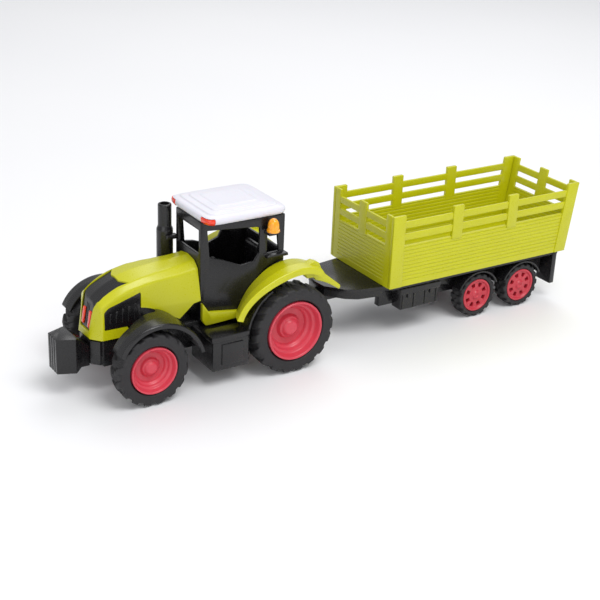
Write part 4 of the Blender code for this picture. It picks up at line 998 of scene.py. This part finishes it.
@dataclass
class Cab:
    """The cab's black frame, its roof, lamps, beacon and exhaust, and what stands inside.

    The silencer and the pipe are radii; the waist is the height where one becomes the other.
    """

    body: str = "tractor"
    silencer: float = 5.6 * MM
    pipe: float = 4.6 * MM
    waist: float = 28.0 * MM

    def build(self) -> None:
        """Make and dress the cab's pieces."""
        dress(moulding("cab_frame", 0.5 * MM), "cab_frame_moulding", BLACK_ABS, self.body, "cab_frame")
        dress(moulding("cab_interior", 0.5 * MM), "cab_floor_and_console", BLACK_ABS, self.body,
              "cab_interior")
        dress(self.seat(), "driver_seat", BLACK_ABS, self.body, "seat")
        dress(self.wheel(), "steering_wheel_moulding", BLACK_ABS, self.body, "steering_wheel")
        roof, lamp = self.roof()
        dress(roof, "roof_shell", WHITE_ABS, self.body, "roof", crease=40.0)
        other = mirrored(lamp, "lamp")
        dress(lamp, "roof_lamp_left", RED_LENS, self.body, "roof_light_left")
        dress(other, "roof_lamp_right", RED_LENS, self.body, "roof_light_right")
        dress(self.beacon(), "beacon_dome", AMBER_LENS, self.body, "beacon")
        dress(self.exhaust(), "exhaust_pipe", BLACK_ABS, self.body, "exhaust_stack")

    def roof(self) -> tuple[Piece, Piece]:
        """The roof and its left-hand lamp.

        A closed profile of (share of the half-width, height) is carried round a rounded
        rectangle. Its top rises in three shallow steps to a crowned middle. The lamps are the
        same form inside a box at each front corner, and the roof has pockets for them.

        Returns:
            The roof and the lamp.
        """
        low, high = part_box("roof")
        tall = high.z - low.z
        corners = np.array([
            (0.0, 0.0), (0.93, 0.0), (0.975, 0.06), (0.998, 0.22), (1.0, 0.42), (0.985, 0.58),
            (0.945, 0.66), (0.86, 0.70), (0.84, 0.80), (0.70, 0.83), (0.68, 0.92), (0.50, 0.945),
            (0.48, 1.0), (0.0, 1.0),
        ])
        corners = corners * np.array([1.0, tall])
        scale = np.array([(high.x - low.x) / 2, 1.0])
        far = np.concatenate([[0.0], np.cumsum(np.linalg.norm(np.diff(corners * scale, axis=0), axis=1))])
        places = np.linspace(0.0, far[-1], 120)
        share = np.interp(places, far, corners[:, 0])[None, :]
        height = np.interp(places, far, corners[:, 1])[None, :]
        angle = np.linspace(0.0, FULL_TURN, 144, endpoint=False)
        plan = superellipse(angle, (high.x - low.x) / 2, (high.y - low.y) / 2, 0.2)
        middle = (low + high) / 2

        def skin(grow: float) -> Piece:
            """The roof's own form, its plan a little larger by an amount.

            Args:
                grow: How far the plan is grown.

            Returns:
                The closed object.
            """
            grid = np.stack([
                middle.x + plan[:, None, 0] * share * (1.0 + grow / scale[0]),
                middle.y + plan[:, None, 1] * share * (1.0 + grow / scale[0]),
                low.z + height + 0.0 * plan[:, :1],
            ], axis=-1)
            return surface("roof_form", grid, closed_rows=True)

        lamp_low, lamp_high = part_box("roof_light_left")
        lamp = combine(skin(0.25 * MM), [prism("lamp_box", np.array([
            (lamp_low.x, lamp_low.y - MM), (lamp_high.x + MM, lamp_low.y - MM),
            (lamp_high.x + MM, lamp_high.y), (lamp_low.x, lamp_high.y),
        ]), "Z", low.z - MM, lamp_high.z)], "INTERSECT")
        gap = 0.3 * MM
        pocket = soft_box(
            "pocket", (lamp_low.x - gap, lamp_low.y - MM, low.z - MM),
            (lamp_high.x + MM, lamp_high.y + gap, lamp_high.z + gap), 0.3 * MM,
        )
        roof = combine(skin(0.0), [mirrored(pocket, "pocket_right"), pocket], "DIFFERENCE")
        return roof, lamp

    def beacon(self) -> Piece:
        """The beacon: a foot ring and a ribbed dome, turned about its upright axis.

        Returns:
            The closed object.
        """
        low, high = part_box("beacon")
        radius, tall = (high.x - low.x) / 2, high.z - low.z
        turn = np.linspace(0.0, FULL_TURN, 72, endpoint=False)[:, None]
        lift = np.linspace(0.0, 1.0, 48)[None, :]
        foot = (lift < 0.16) * 1.0
        dome = np.sqrt(np.clip(1.0 - ((lift - 0.16) / 0.84) ** 3.2, 0.0, 1.0))
        reach = radius * np.where(foot > 0.0, 1.0, 0.90 * dome)
        reach = reach * (1.0 - 0.012 * (1.0 - foot) * (1.0 + np.cos(turn * 18.0)))
        reach = np.where(lift >= 1.0, 0.0, reach)
        grid = np.stack([
            (low.x + high.x) / 2 + reach * np.cos(turn),
            (low.y + high.y) / 2 + reach * np.sin(turn),
            low.z + tall * lift + 0.0 * turn,
        ], axis=-1)
        return surface("dome", grid, closed_rows=True)

    def exhaust(self) -> Piece:
        """The exhaust: a silencer and pipe turned about an upright axis, with its arm.

        Returns:
            The closed object.
        """
        low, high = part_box("exhaust_stack")
        tall = high.z - low.z
        wide, narrow, waist = self.silencer, self.pipe, self.waist
        outline = np.array([
            (0.0, 0.0), (wide - 0.8 * MM, 0.0), (wide, 0.8 * MM), (wide, waist - 2.5 * MM),
            (narrow, waist), (narrow, tall - 0.5 * MM), (narrow - 0.5 * MM, tall), (narrow - 1.6 * MM, tall),
            (narrow - 1.8 * MM, tall - 6 * MM), (0.0, tall - 6 * MM),
        ])
        profile = rounded_ring(outline, 0.5 * MM, 180)
        profile[:, 0] = np.where(profile[:, 0] < 0.3 * MM, 0.0, profile[:, 0])
        profile[:, 1] = np.clip(profile[:, 1], 0.0, tall)
        place = Vector((low.x + wide, low.y + wide, low.z))
        pipe = turned("pipe", profile, place, "Z", 64)
        arm_low, arm_high = low.z + 20 * MM, low.z + 23 * MM
        arms = [
            soft_box("arm", (place.x, place.y - 2 * MM, arm_low),
                     (high.x, place.y + 2 * MM, arm_high), 0.5 * MM),
            soft_box("arm", (high.x - 4 * MM, place.y, arm_low), (high.x, high.y, arm_high), 0.5 * MM),
        ]
        return combine(pipe, arms, "UNION")

    def seat(self) -> Piece:
        """The seat: a cushion and a back, each a box with deep rounded edges, in one moulding.

        Returns:
            The closed object.
        """
        low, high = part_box("seat")
        cushion = soft_box("cushion", low, (high.x, high.y, low.z + 11.5 * MM), 2.2 * MM)
        back = soft_box("back", (low.x + MM, high.y - 5 * MM, low.z + 6 * MM), (high.x - MM, high.y, high.z),
                        2.0 * MM)
        return combine(cushion, [back], "UNION")

    def wheel(self) -> Piece:
        """The steering wheel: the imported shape, its edges rounded."""
        return moulding("steering_wheel", 0.25 * MM, 2)


# ------------------------------------------------------------------ fenders, steps and guards

@dataclass
class Fenders:
    """The lime rear fenders, each with the sill under its door and its stepped lamp bracket."""

    body: str = "tractor"
    first: float = 160.0
    last: float = 61.0
    lip: float = 4.6 * MM
    wall: float = 1.8 * MM
    clearance: float = 0.6 * MM
    ridge_share: float = 0.62
    crown: float = 1.1 * MM

    def build(self) -> None:
        """Make the left-hand fender, mirror it and dress both."""
        self.axle = joint_place("rear_wheel_spin")
        low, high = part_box("rear_tyre_left")
        self.tyre = (high.y - low.y) / 2
        self.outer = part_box("rear_fender_left")[1].x
        made = combine(self.arch(), [self.sill(), self.bracket()], "UNION")
        other = mirrored(made, "fender")
        dress(made, "rear_fender_shell_left", LIME_ABS, self.body, "rear_fender_left")
        dress(other, "rear_fender_shell_right", LIME_ABS, self.body, "rear_fender_right")

    def cab_side(self, y: Array) -> Array:
        """The cab's half-width along it: straight lines from the screen to the doors' rear edge."""
        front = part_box("cab_frame")[0].y
        return np.interp(y, [front, front + 38.0 * MM], [17.0 * MM, 26.0 * MM])

    def arch(self) -> Piece:
        """The arch: a section with a lip, carried over the tyre from low in front to high behind.

        At each angle the section runs from the cab's side out to the lip. Both ends' distances
        beyond the tyre are quartics in the angle's share, and the top is crowned between them.

        Returns:
            The closed object.
        """
        share = np.linspace(0.0, 1.0, 72)
        angle = np.radians(self.first + (self.last - self.first) * share)
        fit = np.polynomial.polynomial.Polynomial.fit
        stations = np.array([0.0, 0.15, 0.27, 0.40, 0.56, 0.75, 1.0])
        inner_reach = np.array([3.3, 4.3, 5.6, 7.9, 10.8, 12.7, 13.6]) * MM
        outer_reach = np.array([16.0, 15.3, 13.6, 11.9, 11.9, 12.8, 13.5]) * MM
        inner = self.tyre + fit(stations, inner_reach, 4)(share)
        outer = self.tyre + fit(stations, outer_reach, 4)(share)
        start = self.cab_side(self.axle.y + inner * np.cos(angle)) + self.clearance
        rings = []
        for x0, low, high in zip(start, inner, outer):
            ridge = x0 + self.ridge_share * (self.outer - x0)
            crown = low + self.ridge_share * (high - low) + self.crown
            corners = np.array([
                (x0, low), (ridge, crown), (self.outer - 0.6 * MM, high), (self.outer, high - 0.8 * MM),
                (self.outer, high - self.lip), (self.outer - self.wall, high - self.lip),
                (self.outer - self.wall, high - 0.8 * MM - self.wall),
                (ridge, crown - self.wall), (x0, low - self.wall),
            ])
            rings.append(rounded_ring(corners, 0.5 * MM, 110))
        section = np.array(rings)
        grid = np.stack([
            section[:, :, 0],
            self.axle.y + section[:, :, 1] * np.cos(angle)[:, None],
            self.axle.z + section[:, :, 1] * np.sin(angle)[:, None],
        ], axis=-1)
        return surface("arch", grid, closed_columns=True)

    def sill(self) -> Piece:
        """The sill: a side outline, thin and following the cab's tapering side.

        Each outline point (y, z) is set at the cab's half-width there, and again one sill's
        thickness further out.

        Returns:
            The closed object.
        """
        y, z = self.axle.y, self.axle.z
        corners = np.array([
            (y - 55.8 * MM, z + 20.8 * MM), (y - 51.5 * MM, z + 14.0 * MM), (y - 31.0 * MM, z + 13.0 * MM),
            (y - 30.5 * MM, z + 8.6 * MM), (y - 44.8 * MM, z + 5.9 * MM), (y - 53.7 * MM, z + 4.6 * MM),
            (y - 55.8 * MM, z + 8.0 * MM),
        ])
        ring = rounded_ring(corners, 1.2 * MM, 120)
        side = self.cab_side(ring[:, 0])
        depth = np.array([0.3 * MM, 3.2 * MM])[:, None]
        grid = np.stack([
            side[None, :] + depth, ring[None, :, 0] + 0.0 * depth, ring[None, :, 1] + 0.0 * depth,
        ], axis=-1)
        return rounded(surface("sill", grid, closed_columns=True), 0.4 * MM, 50.0, 2)

    def bracket(self) -> Piece:
        """The lamp bracket: a stepped outline that tapers to a finger behind the tyre.

        Returns:
            The closed object.
        """
        y, z = self.axle.y, self.axle.z
        corners = np.array([
            (8.0, 38.6), (12.0, 43.4), (16.6, 44.8), (20.7, 43.2), (22.9, 38.7), (26.5, 33.8), (32.8, 28.5),
            (38.6, 23.8), (39.4, 21.8), (38.2, 20.5), (29.0, 26.4), (24.0, 28.8), (18.8, 30.8), (17.0, 33.1),
            (12.0, 33.1),
        ]) * MM + np.array([y, z])
        body = rounded(prism("bracket", corners, "X", self.outer - 11 * MM, self.outer - 5 * MM), 0.6 * MM)
        lamp = np.array([(15.4, 42.4), (19.8, 41.2), (21.6, 37.8), (16.8, 36.6)]) * MM + np.array([y, z])
        boss = rounded(prism("boss", lamp, "X", self.outer - 7 * MM, self.outer - 3.6 * MM), 0.5 * MM)
        return combine(body, [boss], "UNION")


@dataclass
class Guards:
    """The black front mudguards and the step boxes.

    A mudguard clears the tyre by `clear_rear` at its rear end and `clear_front` at its front.
    """

    body: str = "tractor"
    wall: float = 1.8 * MM
    crown: float = 0.8 * MM
    lip: float = 1.6 * MM
    clear_rear: float = 12.0 * MM
    clear_front: float = 3.0 * MM

    def build(self) -> None:
        """Make and dress each pair."""
        guard = self.mudguard()
        other = mirrored(guard, "mudguard")
        dress(guard, "front_mudguard_shell_left", BLACK_ABS, self.body, "front_mudguard_left")
        dress(other, "front_mudguard_shell_right", BLACK_ABS, self.body, "front_mudguard_right")
        for side in ("left", "right"):
            step = moulding(f"side_step_{side}", 0.4 * MM, 3)
            dress(step, f"step_box_{side}", BLACK_ABS, self.body, f"side_step_{side}")

    def mudguard(self) -> Piece:
        """A front mudguard: a crowned strip with turned-down edges, carried over the wheel.

        Its distance from the axle shrinks evenly from the rear end to the front end, and its
        inner edge moves out in steps that follow the wheel's place under the hood.

        Returns:
            The left-hand mudguard.
        """
        axle = joint_place("front_wheel_spin")
        low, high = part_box("front_mudguard_left")
        tyre_low, tyre_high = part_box("front_tyre_left")
        radius = (tyre_high.y - tyre_low.y) / 2
        wall, crown, lip = self.wall, self.crown, self.lip
        share = np.linspace(0.0, 1.0, 64)
        angle = np.radians(10.0 + 138.0 * share)[:, None]
        reach = (radius + self.clear_rear + (self.clear_front - self.clear_rear) * share)[:, None]
        middle = (low.x + high.x) / 2
        corners = np.array([
            (low.x, -wall), (low.x, -0.6 * MM), (middle, 0.0), (high.x - 1.2 * MM, -0.3 * MM),
            (high.x, -crown), (high.x, -wall - lip), (high.x - 1.2 * MM, -wall - lip),
            (high.x - 1.4 * MM, -wall), (middle, -wall),
        ])
        section = rounded_ring(corners, 0.6 * MM, 100)
        inner = np.interp(reach * np.cos(angle), np.array([-12.0, 0.0, 11.0, 14.0]) * MM,
                          low.x + np.array([14.0, 9.0, 6.0, 0.0]) * MM)
        part = (section[None, :, 0] - low.x) / (high.x - low.x)
        grid = np.stack([
            inner + part * (high.x - inner),
            axle.y + (reach + section[None, :, 1]) * np.cos(angle),
            axle.z + (reach + section[None, :, 1]) * np.sin(angle),
        ], axis=-1)
        return surface("mudguard", grid, closed_columns=True)


@dataclass
class Chassis:
    """The lower moulding, the ballast block, the hitch pin, the screws and the motor."""

    body: str = "tractor"

    def build(self) -> None:
        """Make and dress the pieces under the tractor."""
        dress(moulding("chassis", 0.4 * MM), "chassis_moulding", BLACK_ABS, self.body, "chassis")
        dress(moulding("front_weight", 0.6 * MM, 3), "ballast_block", BLACK_ABS, self.body, "front_weight")
        dress(moulding("hitch_pin", 0.3 * MM), "hitch_peg", BLACK_ABS, self.body, "hitch_pin")
        for place in ("front", "middle"):
            screw = moulding(f"chassis_screw_{place}", 0.15 * MM)
            dress(screw, f"slotted_screw_{place}", PLATED_STEEL, self.body, f"chassis_screw_{place}")
        dress(moulding("motor_case", 0.2 * MM), "motor_housing", NYLON, self.body, "motor_case")
        dress(moulding("drive_gear", 0.08 * MM, 1), "axle_gear", NYLON, "rear_wheels", "drive_gear")
        dress(moulding("idler_gear", 0.08 * MM, 1), "idler_wheel", NYLON, "idler", "idler_gear")
        dress(moulding("flywheel", 0.15 * MM, 1), "flywheel_disc", PLATED_STEEL, "flywheel", "flywheel")


# ------------------------------------------------------------------ trailer

@dataclass
class TrailerBox:
    """The stake-sided load box: planked boards below, two rails between posts above."""

    body: str = "trailer"
    planks: int = 9
    groove: float = 0.45 * MM
    board_height: float = 30.8 * MM
    rail_height: float = 5.0 * MM
    rail_gap: float = 4.0 * MM
    post_top: float = 5.0 * MM
    post: float = 9.0 * MM
    corner_post: float = 10.5 * MM
    foot: float = 4.6 * MM
    brim: float = 1.4 * MM
    rake: float = 7.0 * MM

    def build(self) -> None:
        """Make and dress the floor, the ends and the sides."""
        self.low, self.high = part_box("side_board_left")
        self.full = self.high.z - self.low.z
        self.rear = self.high.y - self.rake
        side = self.side()
        other = mirrored(side, "side")
        dress(side, "side_board_planked_left", LIME_ABS, self.body, "side_board_left")
        dress(other, "side_board_planked_right", LIME_ABS, self.body, "side_board_right")
        dress(self.end("headboard", 0.0), "headboard_planked", LIME_ABS, self.body, "headboard")
        dress(self.end("tailgate", self.rake), "tailgate_planked", LIME_ABS, self.body, "tailgate")
        dress(self.floor(), "bed_floor_planked", LIME_ABS, self.body, "bed_floor")

    def planked(self, outer: float, inner: float, low: float, high: float) -> Array:
        """The section of a planked board, as a ring of (thickness place, height).

        Both faces are flat but for narrow V grooves at even heights between the borders.

        Args:
            outer: The outer face's place through the board.
            inner: The inner face's place.
            low: The foot's height.
            high: The top's height.

        Returns:
            The ring, one row for each point.
        """
        height = np.linspace(low, high, 260)
        pitch = (high - low - self.foot - self.brim) / self.planks
        marks = low + self.foot + pitch * np.arange(self.planks + 1)
        near = np.abs(height[:, None] - marks[None, :]).min(axis=1)
        depth = self.groove * np.clip(1.0 - near / (0.55 * MM), 0.0, 1.0)
        way = math.copysign(1.0, outer - inner)
        front = np.stack([outer - way * depth, height], axis=1)
        back = np.stack([inner + way * depth, height], axis=1)[::-1]
        return np.concatenate([front, back])

    def side(self) -> Piece:
        """A side: the planked section carried from the headboard to the raked rear edge.

        Returns:
            The left-hand side.
        """
        outer, inner = self.high.x - 0.8 * MM, self.low.x
        ring = self.planked(outer, inner, self.low.z, self.low.z + self.board_height)
        lean = self.rake * (ring[:, 1] - self.low.z) / self.full
        ends = np.stack([np.full(len(ring), self.low.y + 0.3 * MM), self.rear + lean - 0.3 * MM])
        grid = np.stack([np.broadcast_to(ring[:, 0], ends.shape), ends,
                         np.broadcast_to(ring[:, 1], ends.shape)], axis=-1)
        made = surface("side", grid, closed_columns=True)
        parts = [self.upright(self.low.y, self.low.y + self.corner_post, 0.0, 0.0, 0.0)]
        bay = (self.rear - self.low.y - 2 * self.corner_post - 2 * self.post) / 3
        start = self.low.y + self.corner_post + bay
        lift = self.board_height - 2 * MM
        for low in (start, start + self.post + bay):
            parts.append(self.upright(low, low + self.post, 0.0, 0.0, lift))
        parts.append(self.upright(self.rear - self.corner_post, self.rear, self.rake, self.rake, 0.0))
        for k in range(2):
            z0 = self.low.z + self.board_height + self.rail_gap + k * (self.rail_gap + self.rail_height)
            far = self.rear + self.rake * 0.8 - 3 * MM
            rail = soft_box("rail", (inner + 0.1 * MM, self.low.y + 3 * MM, z0),
                            (outer, far, z0 + self.rail_height), 0.45 * MM)
            parts.append(rail)
        return combine(made, parts, "UNION")

    def upright(self, front: float, rear: float, front_rake: float, rear_rake: float, lift: float) -> Piece:
        """A post: a rounded upright bar that may lean back with the tailgate.

        Args:
            front: Its front face at the foot of the boards.
            rear: Its rear face there.
            front_rake: How far the front face leans over the full height.
            rear_rake: How far the rear face leans.
            lift: How far above the boards' foot it starts.

        Returns:
            The closed object.
        """
        share = lift / self.full
        corners = np.array([
            (front + front_rake * share, self.low.z + lift), (rear + rear_rake * share, self.low.z + lift),
            (rear + rear_rake, self.high.z), (front + front_rake, self.high.z),
        ])
        return rounded(prism("post", corners, "X", self.low.x, self.high.x), 0.5 * MM)

    def end(self, node: str, rake: float) -> Piece:
        """An end board: the planked section across the box, with three posts and two rails.

        Args:
            node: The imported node, headboard or tailgate.
            rake: How far it leans back over its height.

        Returns:
            The closed object.
        """
        low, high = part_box(node)
        front, rear = low.y, high.y - rake
        top = low.z + self.board_height
        ring = self.planked(front, rear, low.z, top)
        if rake:
            ring = self.planked(rear, front, low.z, top)
        edges = np.array([low.x, high.x])[:, None] + 0.0 * ring[None, :, 0]
        grid = np.stack([edges, ring[None, :, 0] + 0.0 * edges, ring[None, :, 1] + 0.0 * edges], axis=-1)
        made = surface("end", grid, closed_columns=True)
        parts = []
        half, corner = self.post / 2, self.corner_post * 0.6
        for x0, x1, lift in ((low.x, low.x + corner, 0.0), (high.x - corner, high.x, 0.0),
                             (-half, half, self.board_height - 2 * MM)):
            parts.append(soft_box("post", (x0, front, low.z + lift), (x1, rear, high.z), 0.5 * MM))
        for k in range(2):
            z0 = top + self.rail_gap + k * (self.rail_gap + self.rail_height)
            parts.append(soft_box("rail", (low.x + 3 * MM, front + 0.15 * MM, z0),
                                  (high.x - 3 * MM, rear - 0.15 * MM, z0 + self.rail_height), 0.45 * MM))
        made = combine(made, parts, "UNION")
        shear = Matrix.Identity(4)
        shear[1][2] = rake / self.full
        move = Matrix.Translation((0.0, 0.0, low.z)) @ shear @ Matrix.Translation((0.0, 0.0, -low.z))
        made.data.transform(move)
        return made

    def floor(self) -> Piece:
        """The floor: a flat board with shallow plank lines along the box.

        Returns:
            The closed object.
        """
        low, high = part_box("bed_floor")
        across = np.linspace(low.x, high.x, 300)
        marks = np.linspace(low.x, high.x, 9)[1:-1]
        near = np.abs(across[:, None] - marks[None, :]).min(axis=1)
        top = high.z - 0.4 * MM * np.clip(1.0 - near / (0.6 * MM), 0.0, 1.0)
        front = np.stack([across, top], axis=1)
        ring = np.concatenate([front, np.array([(high.x, low.z), (low.x, low.z)])])
        return prism("floor", ring, "Y", low.y, high.y)


@dataclass
class TrailerFrame:
    """The trailer's black deck and drawbar with its wheel arches, and its tool boxes."""

    body: str = "trailer"

    def build(self) -> None:
        """Make and dress the pieces under the load box."""
        deck = moulding("trailer_chassis", 0.35 * MM)
        dress(deck, "trailer_deck", BLACK_ABS, self.body, "trailer_chassis")
        box = self.tool_box()
        other = mirrored(box, "box")
        dress(box, "lidded_tool_box_left", BLACK_ABS, self.body, "tool_box_left")
        dress(other, "lidded_tool_box_right", BLACK_ABS, self.body, "tool_box_right")

    def tool_box(self) -> Piece:
        """A tool box: a ribbed body under an overhanging lid, with two latches on its front.

        Returns:
            The left-hand box.
        """
        low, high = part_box("tool_box_left")
        out = high.x
        body = soft_box("body", (low.x, low.y + MM, low.z),
                        (out - 1.2 * MM, high.y - MM, high.z - MM), 0.8 * MM)
        parts = [soft_box("lid", (low.x, low.y, high.z - 5 * MM), (out, high.y, high.z), 0.8 * MM)]
        length = high.y - low.y
        for share in (0.22, 0.78):
            y = low.y + share * length
            parts.append(soft_box("latch", (out - 2 * MM, y - 1.5 * MM, high.z - 8 * MM),
                                  (out - 0.05 * MM, y + 1.5 * MM, high.z - 3 * MM), 0.4 * MM))
        for share in (0.08, 0.36, 0.64, 0.92):
            y = low.y + share * length
            parts.append(soft_box("rib", (out - 2 * MM, y - 0.6 * MM, low.z + MM),
                                  (out - 0.6 * MM, y + 0.6 * MM, high.z - 4 * MM), 0.3 * MM))
        return combine(body, parts, "UNION")


# ------------------------------------------------------------------ studio

@dataclass
class Studio:
    """The floor, the lights and the camera round the toy."""

    eye: tuple[float, float, float] = (0.6963, -0.4796, 0.3988)
    azimuth: float = 56.47
    elevation: float = 23.94
    roll: float = 2.495
    lens: float = 77.34

    def build(self) -> None:
        """Set up the whole studio."""
        bpy.context.scene.view_settings.view_transform = "Standard"
        self.floor()
        self.world()
        self.area("key", (0.8, 0.1, 1.4), 0.8, 14.0)
        self.area("fill", (0.9, -1.1, 0.6), 1.0, 4.0)
        self.area("back", (-0.8, 0.6, 1.2), 1.0, 6.0)
        self.camera()

    def floor(self) -> None:
        """A wide, plain, pale floor."""
        half = 6.0
        corners = np.array([(-half, -half), (half, -half), (half, half), (-half, half)])
        corners = np.column_stack([corners, np.full(4, -0.05 * MM)])
        made = mesh_piece("studio_floor", corners, np.array([[0, 1, 2, 3]]))
        paper = Finish("", "white_backdrop_paper", "f4f4f5", "efeff1", 0.7, drift_mm=400.0, grain_mm=3.0)
        made.data.materials.append(paper.material())

    def world(self) -> None:
        """An even white room round the toy."""
        room = bpy.data.worlds.new("white_room")
        bpy.context.scene.world = room
        room.use_nodes = True
        background = room.node_tree.nodes["Background"]
        background.inputs["Color"].default_value = linear("f7f8fa")
        background.inputs["Strength"].default_value = 0.62

    def area(self, name: str, place: tuple[float, float, float], size: float, power: float) -> None:
        """A square soft light at a place, aimed at the toy.

        Args:
            name: Its name.
            place: Where it stands.
            size: How wide it is.
            power: Its power, in watts.
        """
        light = bpy.data.lights.new(name, "AREA")
        light.size = size
        light.energy = power
        made = bpy.data.objects.new(name, light)
        made.location = place
        way = Vector((0.0, 0.0, 0.05)) - Vector(place)
        made.rotation_euler = way.to_track_quat("-Z", "Y").to_euler()
        bpy.context.scene.collection.objects.link(made)

    def camera(self) -> None:
        """A long lens, looking down on the toy from its front left."""
        view = bpy.data.cameras.new("camera")
        view.lens = self.lens
        view.sensor_width = 36.0
        made = bpy.data.objects.new("camera", view)
        turn = Matrix.Rotation(math.radians(self.azimuth), 4, "Z")
        tilt = Matrix.Rotation(math.radians(90.0 - self.elevation), 4, "X")
        roll = Matrix.Rotation(math.radians(self.roll), 4, "Z")
        made.matrix_world = Matrix.Translation(self.eye) @ turn @ tilt @ roll
        bpy.context.scene.collection.objects.link(made)
        bpy.context.scene.camera = made


def main() -> None:
    """Build each sub-assembly in order."""
    logging.basicConfig(level=logging.INFO, format="%(message)s")
    assemblies = [
        Wheels("rear", "rear_wheels", "rear_wheel_spin", 18, Tread.CHEVRON, Disc.DISHED, CORAL_PP),
        Wheels("front", "front_wheels", "front_wheel_spin", 16, Tread.CHEVRON, Disc.DISHED, CORAL_PP),
        Wheels("trailer_front", "trailer_front_wheels", "trailer_front_wheel_spin", 16, Tread.BLOCK,
               Disc.SLOTTED, RED_PP, 1.3 * MM),
        Wheels("trailer_rear", "trailer_rear_wheels", "trailer_rear_wheel_spin", 16, Tread.BLOCK,
               Disc.SLOTTED, RED_PP, 1.3 * MM),
        Hood(), Cab(), Fenders(), Guards(), Chassis(), TrailerBox(), TrailerFrame(), Studio(),
    ]
    for assembly in assemblies:
        log.info("building %s", type(assembly).__name__)
        assembly.build()


if __name__ == "__main__":
    main()
